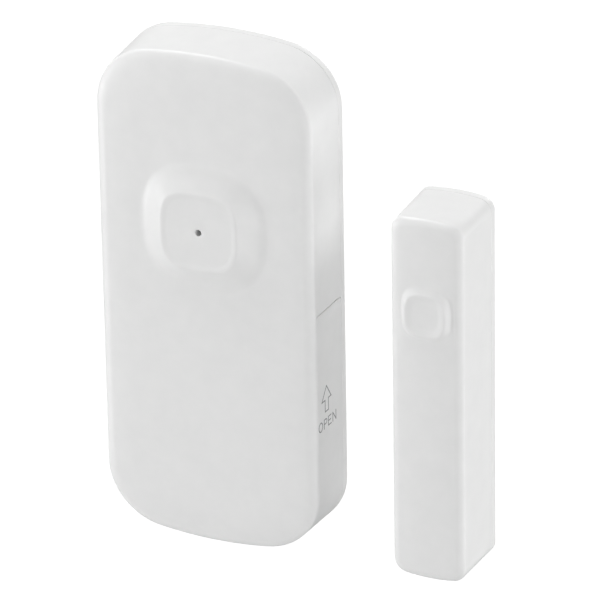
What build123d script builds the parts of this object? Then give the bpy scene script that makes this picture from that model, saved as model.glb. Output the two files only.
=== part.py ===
from build123d import *
import os
from math import atan2, cos, sin, sqrt, degrees

# Surface-mounted wireless door contact: a transmitter unit and, beside it, a
# slim magnet unit, both on one wall plane.  Row frame: +Z up, +X to the right
# seen from the front, fronts face -Y, the wall plane is Y = 0.  The origin is
# the centre of the transmitter's back face.
#
# Every piece is drawn in (u, v, w): u = X, v = Z, w = height off the wall
# plane (w = -Y), and turned into the row frame when it is written.

# ------------------------------------------------------------ driving sizes
# transmitter
W = 32.2            # width at the wall
H = 73.0            # height at the wall
D = 10.6            # depth without the raised button pad
R_END = 60.9        # radius of the bowed top and bottom ends
R_COR = 8.4         # corner radius
DRAFT = 0.28        # inset of the front outline, each side
R_FRONT = 1.4       # front edge rounding
R_BACK = 0.50       # back edge rounding
WALL = 1.6          # side wall
PANEL = 1.5         # front panel thickness
STRIP = 1.5         # visible edge of the base plate
LAP_GAP = 0.06      # gap between base plate edge and cover wall
SEAM_LO = 0.02      # top edge of the base skirt
SEAM_HI = 0.08      # lower edge of the cover's side wall
SEAM_V = 0.30       # depth of the V groove along that seam
SKIRT_TOP = 9.20    # front edge of the base skirt
COVER_UNDER = 9.25  # underside of the cover's lower rim

# raised button pad on the transmitter's front
PAD_V = 11.25
PAD_FOOT, PAD_MID, PAD_TOP = 17.5, 13.6, 11.2
PAD_H, PAD_MID_H = 1.6, 0.55
PINHOLE_R = 0.45

# magnet unit
MU, MV = 32.69, -8.32      # centre, from the transmitter's centre
MW, MH, MD = 10.85, 53.8, 11.15
MR_END, MR_COR = 28.0, 1.9
M_DRAFT = 0.20
MR_FRONT = 1.1
M_WALL = 1.3
M_PANEL = 1.4
MPAD_V = 13.45             # raised pad, above the magnet unit's centre
MPAD_FOOT, MPAD_TOP, MPAD_H = 7.7, 5.1, 0.95
MAG_W, MAG_H = 5.6, 26.0   # bar magnet section and length

# wall screws
SCREW_V = 31.0             # holes at +v and -v in the transmitter's base
MSCREW_V = 20.6            # holes above and below the magnet unit's centre
HOLE_R, SINK_R = 1.7, 3.0
MSINK_R = 2.9

# circuit board
PCB_U, PCB_V, PCB_T, PCB_W = 12.9, 27.0, 1.0, 2.5
TOP = PCB_W + PCB_T        # component side of the board

# coin cell, 20 x 3.2 mm
CELL_U, CELL_V, CELL_R, CELL_T, CELL_W = -1.6, -11.5, 10.0, 3.2, 4.3

# reed switch
REED_U, REED_V, REED_W, REED_R, REED_L = 11.2, -8.3, 5.0, 1.1, 12.0


# ------------------------------------------------------------ helpers
def box(u0, u1, v0, v1, w0, w1):
    return Pos(u0, v0, w0) * Box(u1 - u0, v1 - v0, w1 - w0, align=(Align.MIN,) * 3)


def cyl(u, v, r, w0, w1):
    return Pos(u, v, w0) * Cylinder(r, w1 - w0, align=(Align.CENTER, Align.CENTER, Align.MIN))


def cyl_v(u, w, r, v0, v1):
    c = Cylinder(r, v1 - v0, align=(Align.CENTER, Align.CENTER, Align.MIN))
    return Pos(u, v0, w) * Rot(-90, 0, 0) * c


def cone(u, v, r0, r1, w0, w1):
    return Pos(u, v, w0) * Cone(r0, r1, w1 - w0, align=(Align.CENTER, Align.CENTER, Align.MIN))


def rprism(u, v, a, b, r, w0, w1):
    s = Pos(u, v, w0) * RectangleRounded(a, b, r)
    return extrude(s, w1 - w0)


def bowed_face(w_, h_, re, rc, inset, height):
    """Face of an outline with bowed ends: two straight sides, four corner
    arcs and two shallow end arcs, all tangent."""
    w_, h_, re, rc = w_ - 2 * inset, h_ - 2 * inset, re - inset, max(rc - inset, 0.3)
    ce = h_ / 2 - re
    zc = ce + sqrt((re - rc) ** 2 - (w_ / 2 - rc) ** 2)
    j = atan2(zc - ce, w_ / 2 - rc)
    cx = w_ / 2 - rc

    def c(a, sx, sy):
        return (sx * (cx + rc * cos(a)), sy * (zc + rc * sin(a)), height)

    e = []
    e.append(Line((w_ / 2, -zc, height), (w_ / 2, zc, height)))
    e.append(ThreePointArc(c(0, 1, 1), c(j / 2, 1, 1), c(j, 1, 1)))
    e.append(ThreePointArc(c(j, 1, 1), (0, h_ / 2, height), c(j, -1, 1)))
    e.append(ThreePointArc(c(j, -1, 1), c(j / 2, -1, 1), c(0, -1, 1)))
    e.append(Line((-w_ / 2, zc, height), (-w_ / 2, -zc, height)))
    e.append(ThreePointArc(c(0, -1, -1), c(j / 2, -1, -1), c(j, -1, -1)))
    e.append(ThreePointArc(c(j, -1, -1), (0, -h_ / 2, height), c(j, 1, -1)))
    e.append(ThreePointArc(c(j, 1, -1), c(j / 2, 1, -1), c(0, 1, -1)))
    return Face(Wire(e))


def main_face(inset, height):
    return bowed_face(W, H, R_END, R_COR, inset, height)


def mag_face(inset, height):
    return bowed_face(MW, MH, MR_END, MR_COR, inset, height)


def prism(face, w1):
    return extrude(face, w1 - face.center().Z, dir=(0, 0, 1))


def edges_at(shape, height, tol=0.02):
    out = []
    for e in shape.edges():
        bb = e.bounding_box()
        if abs(bb.min.Z - height) < tol and abs(bb.max.Z - height) < tol:
            out.append(e)
    return out


def raised_pad(sections):
    """Stack of ruled lofts between rounded squares (side, corner radius, height)."""
    body = None
    for (a0, r0, w0), (a1, r1, w1) in zip(sections[:-1], sections[1:]):
        f0 = Pos(0, 0, w0) * RectangleRounded(a0, a0, r0)
        f1 = Pos(0, 0, w1) * RectangleRounded(a1, a1, r1)
        seg = loft([f0, f1], ruled=True)
        body = seg if body is None else body + seg
    return body


os.makedirs("parts", exist_ok=True)
ALL = {}


def write(name, *shapes):
    """Turn into the row frame and write; several shapes stay separate solids."""
    solids = [Plane.XZ * solid for shape in shapes for solid in shape.solids()]
    placed = solids[0] if len(solids) == 1 else Compound(solids)
    ALL[name] = placed
    export_step(placed, f"parts/{name}.step")


# ------------------------------------------------------------ transmitter shell
body = loft([main_face(0, 0), main_face(DRAFT, D)], ruled=True)
body = fillet(edges_at(body, D), R_FRONT)
body = fillet(edges_at(body, 0), R_BACK)

# V groove cut into both edges of the side seam, following the draft
grooves = []
for s in (-1, 1):
    w_mid = (STRIP + LAP_GAP + COVER_UNDER) / 2
    bar = Box(SEAM_V * sqrt(2), SEAM_V * sqrt(2), COVER_UNDER - STRIP)
    tilt = degrees(atan2(DRAFT, D))
    grooves.append(Pos(s * (W / 2 - DRAFT * w_mid / D), (SEAM_LO + SEAM_HI) / 2, w_mid) * Rot(0, -s * tilt, 0) * Rot(0, 0, 45) * bar)

# ---- rear base: plate, lower-half skirt, rails, posts, screw holes
plate = body & box(-40, 40, -60, 60, -1, STRIP)
skirt = (body & box(-40, 40, -60, SEAM_LO, STRIP - 0.01, SKIRT_TOP)) - prism(main_face(WALL, STRIP), D + 1)
rim = prism(main_face(WALL + 0.15, STRIP - 0.2), 2.2) - prism(main_face(WALL + 0.95, STRIP - 0.2), 2.2)
floor_in = prism(main_face(WALL + 0.5, STRIP - 0.2), 1.7)
for bar in grooves:
    skirt -= bar
base = plate + skirt + rim + floor_in

# inward flanges along the skirt's front edge, which the cover's hooks run under
for s in (-1, 1):
    u0, u1 = (13.3, 14.8) if s > 0 else (-14.8, -13.3)
    base += box(u0, u1, -24.0, SEAM_LO - 0.5, 8.3, 9.0)

# upper rail clips: a web off the floor with an outward flange over the cover's lip
CLIPS = ((4.0, 9.0), (17.0, 22.0))
for s in (-1, 1):
    for v0, v1 in CLIPS:
        a, b = sorted((s * 12.3, s * 13.0))
        base += box(a, b, v0, v1, 1.5, 4.6)
        a, b = sorted((s * 12.3, s * 13.95))
        base += box(a, b, v0, v1, 3.9, 4.6)

# board posts, two of them with pilot holes
POSTS = ((-9.5, 24.8, True), (8.5, -25.0, True), (9.5, 24.8, False), (-9.5, -25.2, False))
SHANK = 0.75
for u, v, drilled in POSTS:
    base += cyl(u, v, 2.0 if drilled else 1.5, 1.5, PCB_W)
    if drilled:
        base -= cyl(u, v, SHANK, 0.9, PCB_W + 1)
for s in (-1, 1):
    base -= cyl(0, s * SCREW_V, HOLE_R, -1, 3)
    base -= cone(0, s * SCREW_V, HOLE_R, SINK_R, 0.5, 1.7 + 1e-3)
# shallow pocket in the back for the adhesive pad
PADU, PADV, PAD_T = 11.5, 25.0, 0.6
base -= rprism(0, 0, 2 * PADU, 2 * PADV, 3.0, -1, PAD_T)
write("rear_base", base)
write("adhesive_pad", rprism(0, 0, 2 * PADU, 2 * PADV, 3.0, 0, PAD_T))

# ---- front cover: panel, upper-half side walls, raised pad, hooks and lips
upper = body & box(-40, 40, SEAM_HI, 60, STRIP + LAP_GAP, D + 1)
lower = body & box(-40, 40, -60, SEAM_HI + 0.01, COVER_UNDER, D + 1)
cover = (upper + lower) - prism(main_face(WALL, 0.5), D - PANEL)
for bar in grooves:
    cover -= bar & box(-40, 40, -10, 10, 0, COVER_UNDER)
pad = raised_pad([(PAD_FOOT, 6.0, D - 0.4), (PAD_FOOT, 6.0, D), (PAD_MID, 4.2, D + PAD_MID_H), (PAD_TOP, 2.8, D + PAD_H)])
cover += Pos(0, PAD_V, 0) * pad
cover -= rprism(0, PAD_V, 8.4, 8.4, 1.8, D - PANEL - 1, D + 0.1)
cover -= cyl(0, PAD_V, PINHOLE_R, D - 2, D + PAD_H + 1)
for s in (-1, 1):
    # hooks under the skirt's flanges
    a, b = sorted((s * 12.3, s * 13.0))
    cover += box(a, b, -22.5, -1.2, 7.4, 9.4)
    a, b = sorted((s * 12.3, s * 14.2))
    cover += box(a, b, -22.5, -1.2, 7.4, 8.1)
    # lips along the upper walls, under the base's clips
    a, b = sorted((s * 13.3, s * 14.8))
    cover += box(a, b, 1.0, 25.5, 2.7, 3.7)
# rib that holds the tamper plunger in
TAMP_U, TAMP_V = -8.3, 10.0
cover += box(TAMP_U - 0.9, TAMP_U + 0.9, TAMP_V - 1.8, TAMP_V + 1.8, 8.1, 9.4)
write("front_cover", cover)

# ------------------------------------------------------------ circuit board
pcb = rprism(0, 0, 2 * PCB_U, 2 * PCB_V, 2.0, PCB_W, TOP)
for s in (-1, 1):
    for v0, v1 in CLIPS:
        a, b = sorted((s * 12.05, s * 14.0))
        pcb -= box(a, b, v0 - 0.25, v1 + 0.25, 0, 6)
for u, v, drilled in POSTS:
    if drilled:
        pcb -= cyl(u, v, 0.9, 0, 6)
LEAD_R = 0.25
REED_END = (REED_V - REED_L / 2 - 2.6, REED_V + REED_L / 2 + 2.6)
for v in REED_END:
    pcb -= cyl(REED_U, v, LEAD_R + 0.1, 0, 6)
STRAP = (-4.6, 1.4)
LEG_V = (-23.35, 0.1)
for v in LEG_V:
    pcb -= box(-2.2, -1.0, v - 0.05, v + 0.3, 0, 6)
write("circuit_board", pcb)

# board screws
screws = []
for u, v, drilled in POSTS:
    if drilled:
        s = cyl(u, v, 1.4, TOP, TOP + 0.9) + cyl(u, v, SHANK, 1.0, TOP + 0.1)
        s = fillet(edges_at(s, TOP + 0.9), 0.35)
        s -= box(u - 0.85, u + 0.85, v - 0.14, v + 0.14, TOP + 0.45, TOP + 2)
        s -= box(u - 0.14, u + 0.14, v - 0.85, v + 0.85, TOP + 0.45, TOP + 2)
        screws.append(s)
write("board_screws", *screws)

# ------------------------------------------------------------ coin cell and holder
hold = rprism(CELL_U, CELL_V, 22.0, 22.2, 3.0, TOP, 6.6)
hold -= cyl(CELL_U, CELL_V, CELL_R + 0.15, 4.0, 10)
hold -= box(CELL_U - 12, CELL_U - 4.0, CELL_V - 6.0, CELL_V + 6.0, 4.0, 10)   # finger side
hold -= box(STRAP[0] - 0.2, STRAP[1] + 0.2, CELL_V - 12, CELL_V + 12, 6.2, 10)
hold -= rprism(CELL_U, CELL_V, 9.0, 9.0, 1.5, 0, 5)                           # window under the cell
write("cell_holder", hold)

cell = cyl(CELL_U, CELL_V, CELL_R, CELL_W + 0.35, CELL_W + CELL_T)
cell = fillet(edges_at(cell, CELL_W + CELL_T), 0.35)
cell += cyl(CELL_U, CELL_V, 8.9, CELL_W, CELL_W + 0.36)
write("coin_cell", cell)

# negative contact: two sprung tongues under the cell, joined by a foot
ct = box(CELL_U - 3.6, CELL_U + 3.6, CELL_V - 1.0, CELL_V + 1.0, TOP, TOP + 0.25)
ct += box(CELL_U - 3.6, CELL_U - 2.6, CELL_V - 1.0, CELL_V + 1.0, TOP, CELL_W)
ct += box(CELL_U + 2.6, CELL_U + 3.6, CELL_V - 1.0, CELL_V + 1.0, TOP, CELL_W)
write("negative_contact", ct)

# positive clip: a strap over the cell with a leg at each end
CT = CELL_W + CELL_T
clip = box(STRAP[0], STRAP[1], LEG_V[0], LEG_V[1] + 0.25, CT, CT + 0.25)
clip -= rprism((STRAP[0] + STRAP[1]) / 2, CELL_V, 3.0, 12.0, 1.2, CT - 1, CT + 1)
for v in LEG_V:
    clip += box(STRAP[0], STRAP[1], v, v + 0.25, TOP, CT + 0.1)
    clip += box(-2.1, -1.1, v, v + 0.25, PCB_W - 0.5, TOP + 0.1)
write("positive_clip", clip)

# ------------------------------------------------------------ reed switch
V0, V1 = REED_V - REED_L / 2, REED_V + REED_L / 2
glass = cyl_v(REED_U, REED_W, REED_R, V0, V1)
glass = fillet([e for e in glass.edges() if e.geom_type == GeomType.CIRCLE], 0.7)
glass -= cyl_v(REED_U, REED_W, 0.75, V0 + 1.6, V1 - 1.6)
glass -= cyl_v(REED_U, REED_W, LEAD_R, V0 - 1, V1 + 1)
write("reed_glass", glass)

blades = []
for s, vend, vin in ((1, REED_END[1], REED_V - 0.9), (-1, REED_END[0], REED_V + 0.9)):
    off = 0.14 * s
    a, b = sorted((REED_V + s * (REED_L / 2 - 1.7), vend))
    lead = cyl_v(REED_U, REED_W, LEAD_R, a, b)
    lead += Pos(REED_U, vend, REED_W) * Sphere(LEAD_R)
    lead += cyl(REED_U, vend, LEAD_R, PCB_W - 0.5, REED_W)
    a, b = sorted((vin, REED_V + s * (REED_L / 2 - 1.65)))
    lead += box(REED_U - 0.45, REED_U + 0.45, a, b, REED_W + off - 0.08, REED_W + off + 0.08)
    blades.append(lead)
write("reed_blades", *blades)

# ------------------------------------------------------------ switches
tact = rprism(0, PAD_V, 6.0, 6.0, 0.4, TOP, TOP + 3.4)
tact -= cyl(0, PAD_V, 1.56, TOP + 2.4, TOP + 5)
for su in (-1, 1):
    for sv in (-1, 1):
        tact -= cyl(su * 2.3, PAD_V + sv * 2.3, 0.35, TOP + 3.2, TOP + 5)
write("button_switch", tact)
btn = cyl(0, PAD_V, 1.5, TOP + 2.8, 8.6)
btn = fillet(edges_at(btn, 8.6), 0.2)
write("learn_button", btn)

tamp = rprism(TAMP_U, TAMP_V, 4.6, 4.6, 0.3, TOP, TOP + 2.6)
tamp -= cyl(TAMP_U, TAMP_V, 1.06, TOP + 1.4, TOP + 4)
write("tamper_switch", tamp)
plg = cyl(TAMP_U, TAMP_V, 1.0, TOP + 1.9, 8.0)
plg = fillet(edges_at(plg, 8.0), 0.3)
write("tamper_plunger", plg)

# ------------------------------------------------------------ board components
mcu = rprism(-3.6, 20.2, 5.0, 5.0, 0.2, TOP, TOP + 0.85)
mcu -= cyl(-5.4, 22.0, 0.3, TOP + 0.8, TOP + 2)
write("controller_chip", mcu)
rf = rprism(4.4, 19.8, 4.0, 4.0, 0.2, TOP, TOP + 0.8)
rf -= cyl(3.0, 21.2, 0.25, TOP + 0.75, TOP + 2)
write("radio_chip", rf)
xt = rprism(9.2, 20.6, 3.2, 2.5, 0.4, TOP, TOP + 0.75)
xt = fillet(edges_at(xt, TOP + 0.75), 0.15)
write("crystal", xt)
led = box(4.1, 5.7, PAD_V - 0.4, PAD_V + 0.4, TOP, TOP + 0.35) + box(4.4, 5.4, PAD_V - 0.4, PAD_V + 0.4, TOP + 0.3, TOP + 0.8)
write("indicator_led", led)
tant = rprism(6.6, 4.4, 3.5, 2.8, 0.2, TOP, TOP + 1.9)
tant = chamfer(edges_at(tant, TOP + 1.9), 0.15)
write("tantalum_capacitor", tant)

CAPS = [(-7.4, 16.4, 0), (-0.2, 24.4, 0), (1.0, 17.2, 90), (7.8, 16.8, 0), (8.2, 23.9, 0), (-4.0, 3.6, 90), (-1.6, 3.6, 90), (10.6, 11.6, 90)]
RES = [(-7.4, 23.6, 90), (-3.4, 24.6, 0), (1.2, 20.4, 90), (8.6, 8.0, 0), (1.6, 3.4, 0), (1.6, 5.4, 0), (-6.6, 3.6, 90), (4.6, 24.6, 0)]


def chip(u, v, a, l, b, h):
    dx, dy = (l, b) if a == 0 else (b, l)
    return box(u - dx / 2, u + dx / 2, v - dy / 2, v + dy / 2, TOP, TOP + h)


write("chip_capacitors", *[chip(*c, 1.6, 0.8, 0.8) for c in CAPS])
write("chip_resistors", *[chip(*c, 1.6, 0.8, 0.45) for c in RES])

# wire antenna: up from the board, along the top edge, down the left side and back in
AR, AW = 0.35, 5.6
pts = [(10.8, 26.0, TOP), (10.8, 26.0, AW), (-11.5, 26.0, AW), (-11.5, 1.0, AW), (-11.5, 1.0, TOP)]
ant = cyl(pts[0][0], pts[0][1], AR, TOP, AW) + Pos(*pts[1]) * Sphere(AR)
ant += Pos(pts[2][0], pts[2][1], AW) * Rot(0, 90, 0) * Cylinder(AR, pts[1][0] - pts[2][0], align=(Align.CENTER, Align.CENTER, Align.MIN))
ant += Pos(*pts[2]) * Sphere(AR) + cyl_v(pts[2][0], AW, AR, pts[3][1], pts[2][1])
ant += Pos(*pts[3]) * Sphere(AR) + cyl(pts[4][0], pts[4][1], AR, TOP, AW)
write("wire_antenna", ant)

# ------------------------------------------------------------ magnet unit
def at_mag(s):
    return Pos(MU, MV, 0) * s


mbody = loft([mag_face(0, 0), mag_face(M_DRAFT, MD)], ruled=True)
mbody = fillet(edges_at(mbody, MD), MR_FRONT)
mbody = fillet(edges_at(mbody, 0), R_BACK)

mplate = mbody & box(-20, 20, -60, 60, -1, STRIP)
mplate += prism(mag_face(M_WALL + 0.12, STRIP - 0.2), 2.6) - prism(mag_face(M_WALL + 0.82, STRIP - 0.2), 2.6)
mplate += prism(mag_face(M_WALL + 0.5, STRIP - 0.2), 1.7)
# cradle: two end stops and two pairs of side fingers round the bar magnet
CR_W = 2.0
for s in (-1, 1):
    a, b = sorted((s * (MAG_H / 2 + 0.1), s * (MAG_H / 2 + 1.1)))
    mplate += box(-3.0, 3.0, a, b, 1.5, 6.0)
    for v in (-7.0, 7.0):
        a, b = sorted((s * (MAG_W / 2 + 0.05), s * (MAG_W / 2 + 0.75)))
        mplate += box(a, b, v - 2.0, v + 2.0, 1.5, 6.4)
for s in (-1, 1):
    mplate -= cyl(0, s * MSCREW_V, HOLE_R, -1, 3)
    mplate -= cone(0, s * MSCREW_V, HOLE_R, MSINK_R, 0.5, 1.7 + 1e-3)
mplate -= rprism(0, 0, 8.0, 30.0, 1.5, -1, 0.6)
write("magnet_base", at_mag(mplate))
write("magnet_adhesive_pad", at_mag(rprism(0, 0, 8.0, 30.0, 1.5, 0, 0.6)))

bar = rprism(0, 0, MAG_W, MAG_H, 0.3, 1.7, 1.7 + MAG_W)
bar = chamfer(edges_at(bar, 1.7 + MAG_W), 0.3)
write("bar_magnet", at_mag(bar))

mcov = mbody & box(-20, 20, -60, 60, STRIP + LAP_GAP, MD + 1)
mcov -= prism(mag_face(M_WALL, 0.5), MD - M_PANEL)
mpad = raised_pad([(MPAD_FOOT, 2.8, MD - 0.3), (MPAD_FOOT, 2.8, MD), (MPAD_TOP, 1.6, MD + MPAD_H)])
mcov += Pos(0, MPAD_V, 0) * mpad
mcov -= rprism(0, MPAD_V, 3.6, 3.6, 0.9, MD - M_PANEL - 1, MD - 0.35)
write("magnet_cover", at_mag(mcov))

# ------------------------------------------------------------ summary
bb = None
for n, s in ALL.items():
    b = s.bounding_box()
    bb = b if bb is None else bb.add(b)
print("nodes", len(ALL), "box", bb.min, bb.max)
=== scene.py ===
import bpy, bmesh, math
from mathutils import Vector, Matrix


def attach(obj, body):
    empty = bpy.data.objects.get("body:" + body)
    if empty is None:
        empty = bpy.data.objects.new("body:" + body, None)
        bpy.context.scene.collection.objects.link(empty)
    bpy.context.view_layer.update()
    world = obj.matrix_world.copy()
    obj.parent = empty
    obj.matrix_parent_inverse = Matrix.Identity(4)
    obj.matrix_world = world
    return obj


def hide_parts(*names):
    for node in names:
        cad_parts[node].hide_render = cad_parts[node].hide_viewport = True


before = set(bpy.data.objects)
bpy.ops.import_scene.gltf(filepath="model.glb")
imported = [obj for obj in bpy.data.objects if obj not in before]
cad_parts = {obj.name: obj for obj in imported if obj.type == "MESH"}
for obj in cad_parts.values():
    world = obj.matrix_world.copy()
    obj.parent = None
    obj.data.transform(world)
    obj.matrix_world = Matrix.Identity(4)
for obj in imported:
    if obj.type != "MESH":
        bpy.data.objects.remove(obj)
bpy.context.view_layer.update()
scene = bpy.context.scene

# Points are worked out in (u, v, w) millimetres: u = X, v = Z, w = height off
# the wall plane, as in the CAD, and turned into the row frame at the end.
TO_ROW = Matrix(((1, 0, 0, 0), (0, 0, -1, 0), (0, 1, 0, 0), (0, 0, 0, 1)))
MM = 0.001

W, H, D, R_END, R_COR, DRAFT = 32.2, 73.0, 10.6, 60.9, 8.4, 0.28
WALL, STRIP, LAP = 1.6, 1.5, 0.06
SEAM_LO, SEAM_HI, SEAM_V, SEAM_SLOPE = 0.0, 0.13, 0.26, 0.60
SKIRT_TOP, COVER_UNDER = 9.20, 9.25
PAD_V, PAD_H, PIN_R = 11.25, 1.6, 0.46
MU, MV = 32.69, -8.32
MW, MH, MD, MR_END, MR_COR, M_DRAFT, M_WALL = 10.85, 53.8, 11.15, 28.0, 1.9, 0.20, 1.3
MPAD_V, MPAD_H = 13.45, 0.95
SCREW_V, MSCREW_V = 31.0, 20.6
PCB_U, PCB_V, PCB_W, TOP = 12.9, 27.0, 2.5, 3.5


# ---------------------------------------------------------------- materials
def new_mat(name):
    m = bpy.data.materials.new(name)
    m.use_nodes = True
    nt = m.node_tree
    for n in list(nt.nodes):
        nt.nodes.remove(n)
    out = nt.nodes.new("ShaderNodeOutputMaterial")
    bs = nt.nodes.new("ShaderNodeBsdfPrincipled")
    nt.links.new(bs.outputs[0], out.inputs[0])
    return m, nt, bs


def coords(nt, scale=(1, 1, 1)):
    tc = nt.nodes.new("ShaderNodeTexCoord")
    mp = nt.nodes.new("ShaderNodeMapping")
    mp.inputs["Scale"].default_value = scale
    nt.links.new(tc.outputs["Object"], mp.inputs[0])
    return mp.outputs[0]


def noise_tex(nt, vec, scale, detail=3.0, rough=0.55, dist=0.0):
    n = nt.nodes.new("ShaderNodeTexNoise")
    n.inputs["Scale"].default_value = scale
    n.inputs["Detail"].default_value = detail
    n.inputs["Roughness"].default_value = rough
    n.inputs["Distortion"].default_value = dist
    nt.links.new(vec, n.inputs["Vector"])
    return n.outputs["Fac"]


def ramp(nt, fac, stops):
    r = nt.nodes.new("ShaderNodeValToRGB")
    r.color_ramp.elements[0].position = stops[0][0]
    r.color_ramp.elements[0].color = (*stops[0][1], 1)
    r.color_ramp.elements[1].position = stops[-1][0]
    r.color_ramp.elements[1].color = (*stops[-1][1], 1)
    for p, c in stops[1:-1]:
        e = r.color_ramp.elements.new(p)
        e.color = (*c, 1)
    nt.links.new(fac, r.inputs[0])
    return r.outputs[0]


def rng(nt, fac, a, b, lo=0.0, hi=1.0):
    r = nt.nodes.new("ShaderNodeMapRange")
    r.inputs[1].default_value, r.inputs[2].default_value = lo, hi
    r.inputs[3].default_value, r.inputs[4].default_value = a, b
    nt.links.new(fac, r.inputs[0])
    return r.outputs[0]


def bump(nt, bs, height, strength, distance, chain=None):
    b = nt.nodes.new("ShaderNodeBump")
    b.inputs["Strength"].default_value = strength
    b.inputs["Distance"].default_value = distance
    nt.links.new(height, b.inputs["Height"])
    if chain is not None:
        nt.links.new(chain, b.inputs["Normal"])
    nt.links.new(b.outputs[0], bs.inputs["Normal"])
    return b.outputs[0]


def plastic(name, c0, c1, rough=(0.38, 0.5), grain=9000.0, grain_mm=0.008, strength=0.35, mottle=350.0, spec=0.5):
    """Moulded plastic: spark-eroded grain, faint flow mottling and uneven gloss."""
    m, nt, bs = new_mat(name)
    vec = coords(nt)
    mot = noise_tex(nt, vec, mottle, 4.0, 0.6)
    nt.links.new(ramp(nt, mot, [(0.3, c0), (0.7, c1)]), bs.inputs["Base Color"])
    fine = noise_tex(nt, vec, grain, 2.0, 0.5)
    mid = noise_tex(nt, vec, mottle * 3.1, 3.0, 0.5)
    nt.links.new(rng(nt, mid, rough[0], rough[1], 0.3, 0.7), bs.inputs["Roughness"])
    bs.inputs["Specular IOR Level"].default_value = spec
    first = bump(nt, bs, fine, strength, grain_mm * MM)
    return m


def metal(name, c0, c1, rough=(0.22, 0.4), brush=(1, 1, 1), scale=2500.0, dirt=300.0, strength=0.12, depth_mm=0.006):
    """Metal with drawn or rolled grain along one axis and patchy tarnish."""
    m, nt, bs = new_mat(name)
    vec = coords(nt, brush)
    grain = noise_tex(nt, vec, scale, 4.0, 0.6)
    patch = noise_tex(nt, coords(nt), dirt, 4.0, 0.6)
    nt.links.new(ramp(nt, patch, [(0.35, c0), (0.7, c1)]), bs.inputs["Base Color"])
    nt.links.new(rng(nt, grain, rough[0], rough[1], 0.3, 0.7), bs.inputs["Roughness"])
    bs.inputs["Metallic"].default_value = 1.0
    bump(nt, bs, grain, strength, depth_mm * MM)
    return m


ABS = plastic("white_abs", (0.775, 0.777, 0.775), (0.800, 0.801, 0.798), rough=(0.36, 0.46), grain=11000.0, grain_mm=0.006, strength=0.22)
ABS_IN = plastic("white_abs_inner", (0.765, 0.765, 0.760), (0.795, 0.795, 0.790), rough=(0.30, 0.42), grain=5000.0, grain_mm=0.004, strength=0.15)
RESIN = plastic("black_resin", (0.018, 0.018, 0.019), (0.030, 0.030, 0.031), rough=(0.42, 0.6), grain=7000.0, grain_mm=0.01, strength=0.4)
CHIP = plastic("chip_resin", (0.014, 0.014, 0.015), (0.024, 0.024, 0.025), rough=(0.5, 0.68), grain=14000.0, grain_mm=0.008, strength=0.5)
BUTTON = plastic("button_resin", (0.03, 0.03, 0.032), (0.05, 0.05, 0.052), rough=(0.3, 0.42), grain=6000.0)
PLUNGER = plastic("plunger_resin", (0.70, 0.69, 0.66), (0.78, 0.77, 0.74), rough=(0.28, 0.4), grain=5000.0)


def board_mat():
    """Green solder mask over woven glass laminate, tan at the cut edges."""
    m, nt, bs = new_mat("board_laminate")
    vec = coords(nt)
    mot = noise_tex(nt, vec, 260.0, 4.0, 0.6)
    mask = ramp(nt, mot, [(0.3, (0.006, 0.055, 0.024)), (0.7, (0.010, 0.085, 0.036))])
    weave = nt.nodes.new("ShaderNodeTexWave")
    weave.inputs["Scale"].default_value = 900.0
    weave.inputs["Distortion"].default_value = 0.6
    nt.links.new(vec, weave.inputs["Vector"])
    geo = nt.nodes.new("ShaderNodeNewGeometry")
    sep = nt.nodes.new("ShaderNodeSeparateXYZ")
    nt.links.new(geo.outputs["True Normal"], sep.inputs[0])
    ab = nt.nodes.new("ShaderNodeMath")
    ab.operation = "ABSOLUTE"
    nt.links.new(sep.outputs["Y"], ab.inputs[0])
    face = rng(nt, ab.outputs[0], 0.0, 1.0, 0.4, 0.8)
    mix = nt.nodes.new("ShaderNodeMix")
    mix.data_type = "RGBA"
    nt.links.new(face, mix.inputs["Factor"])
    edge = ramp(nt, noise_tex(nt, coords(nt, (1, 8, 1)), 900.0, 3.0), [(0.3, (0.20, 0.17, 0.07)), (0.7, (0.34, 0.29, 0.14))])
    nt.links.new(edge, mix.inputs["A"])
    nt.links.new(mask, mix.inputs["B"])
    nt.links.new(mix.outputs["Result"], bs.inputs["Base Color"])
    nt.links.new(rng(nt, mot, 0.22, 0.36, 0.3, 0.7), bs.inputs["Roughness"])
    bump(nt, bs, weave.outputs["Fac"], 0.25, 0.006 * MM)
    return m


def foam_mat():
    """Closed-cell foam tape: pale grey, matt, with open cells at the surface."""
    m, nt, bs = new_mat("foam_tape")
    vec = coords(nt)
    vor = nt.nodes.new("ShaderNodeTexVoronoi")
    vor.inputs["Scale"].default_value = 4200.0
    nt.links.new(vec, vor.inputs["Vector"])
    mot = noise_tex(nt, vec, 500.0, 3.0)
    nt.links.new(ramp(nt, mot, [(0.3, (0.62, 0.62, 0.60)), (0.7, (0.70, 0.70, 0.68))]), bs.inputs["Base Color"])
    nt.links.new(rng(nt, mot, 0.8, 0.95, 0.3, 0.7), bs.inputs["Roughness"])
    nt.links.new(ramp(nt, mot, [(0.3, (0.62, 0.62, 0.60)), (0.7, (0.70, 0.70, 0.68))]), bs.inputs["Subsurface Radius"])
    first = bump(nt, bs, vor.outputs["Distance"], 0.7, 0.05 * MM)
    bump(nt, bs, mot, 0.4, 0.08 * MM, first)
    return m


def ink_mat():
    """Thin grey pad-printed ink with slightly starved patches."""
    m, nt, bs = new_mat("marking_ink")
    vec = coords(nt)
    mot = noise_tex(nt, vec, 2600.0, 4.0, 0.6)
    nt.links.new(ramp(nt, mot, [(0.3, (0.185, 0.185, 0.190)), (0.75, (0.27, 0.27, 0.275))]), bs.inputs["Base Color"])
    nt.links.new(rng(nt, mot, 0.5, 0.65, 0.3, 0.7), bs.inputs["Roughness"])
    bump(nt, bs, mot, 0.2, 0.004 * MM)
    return m


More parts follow.
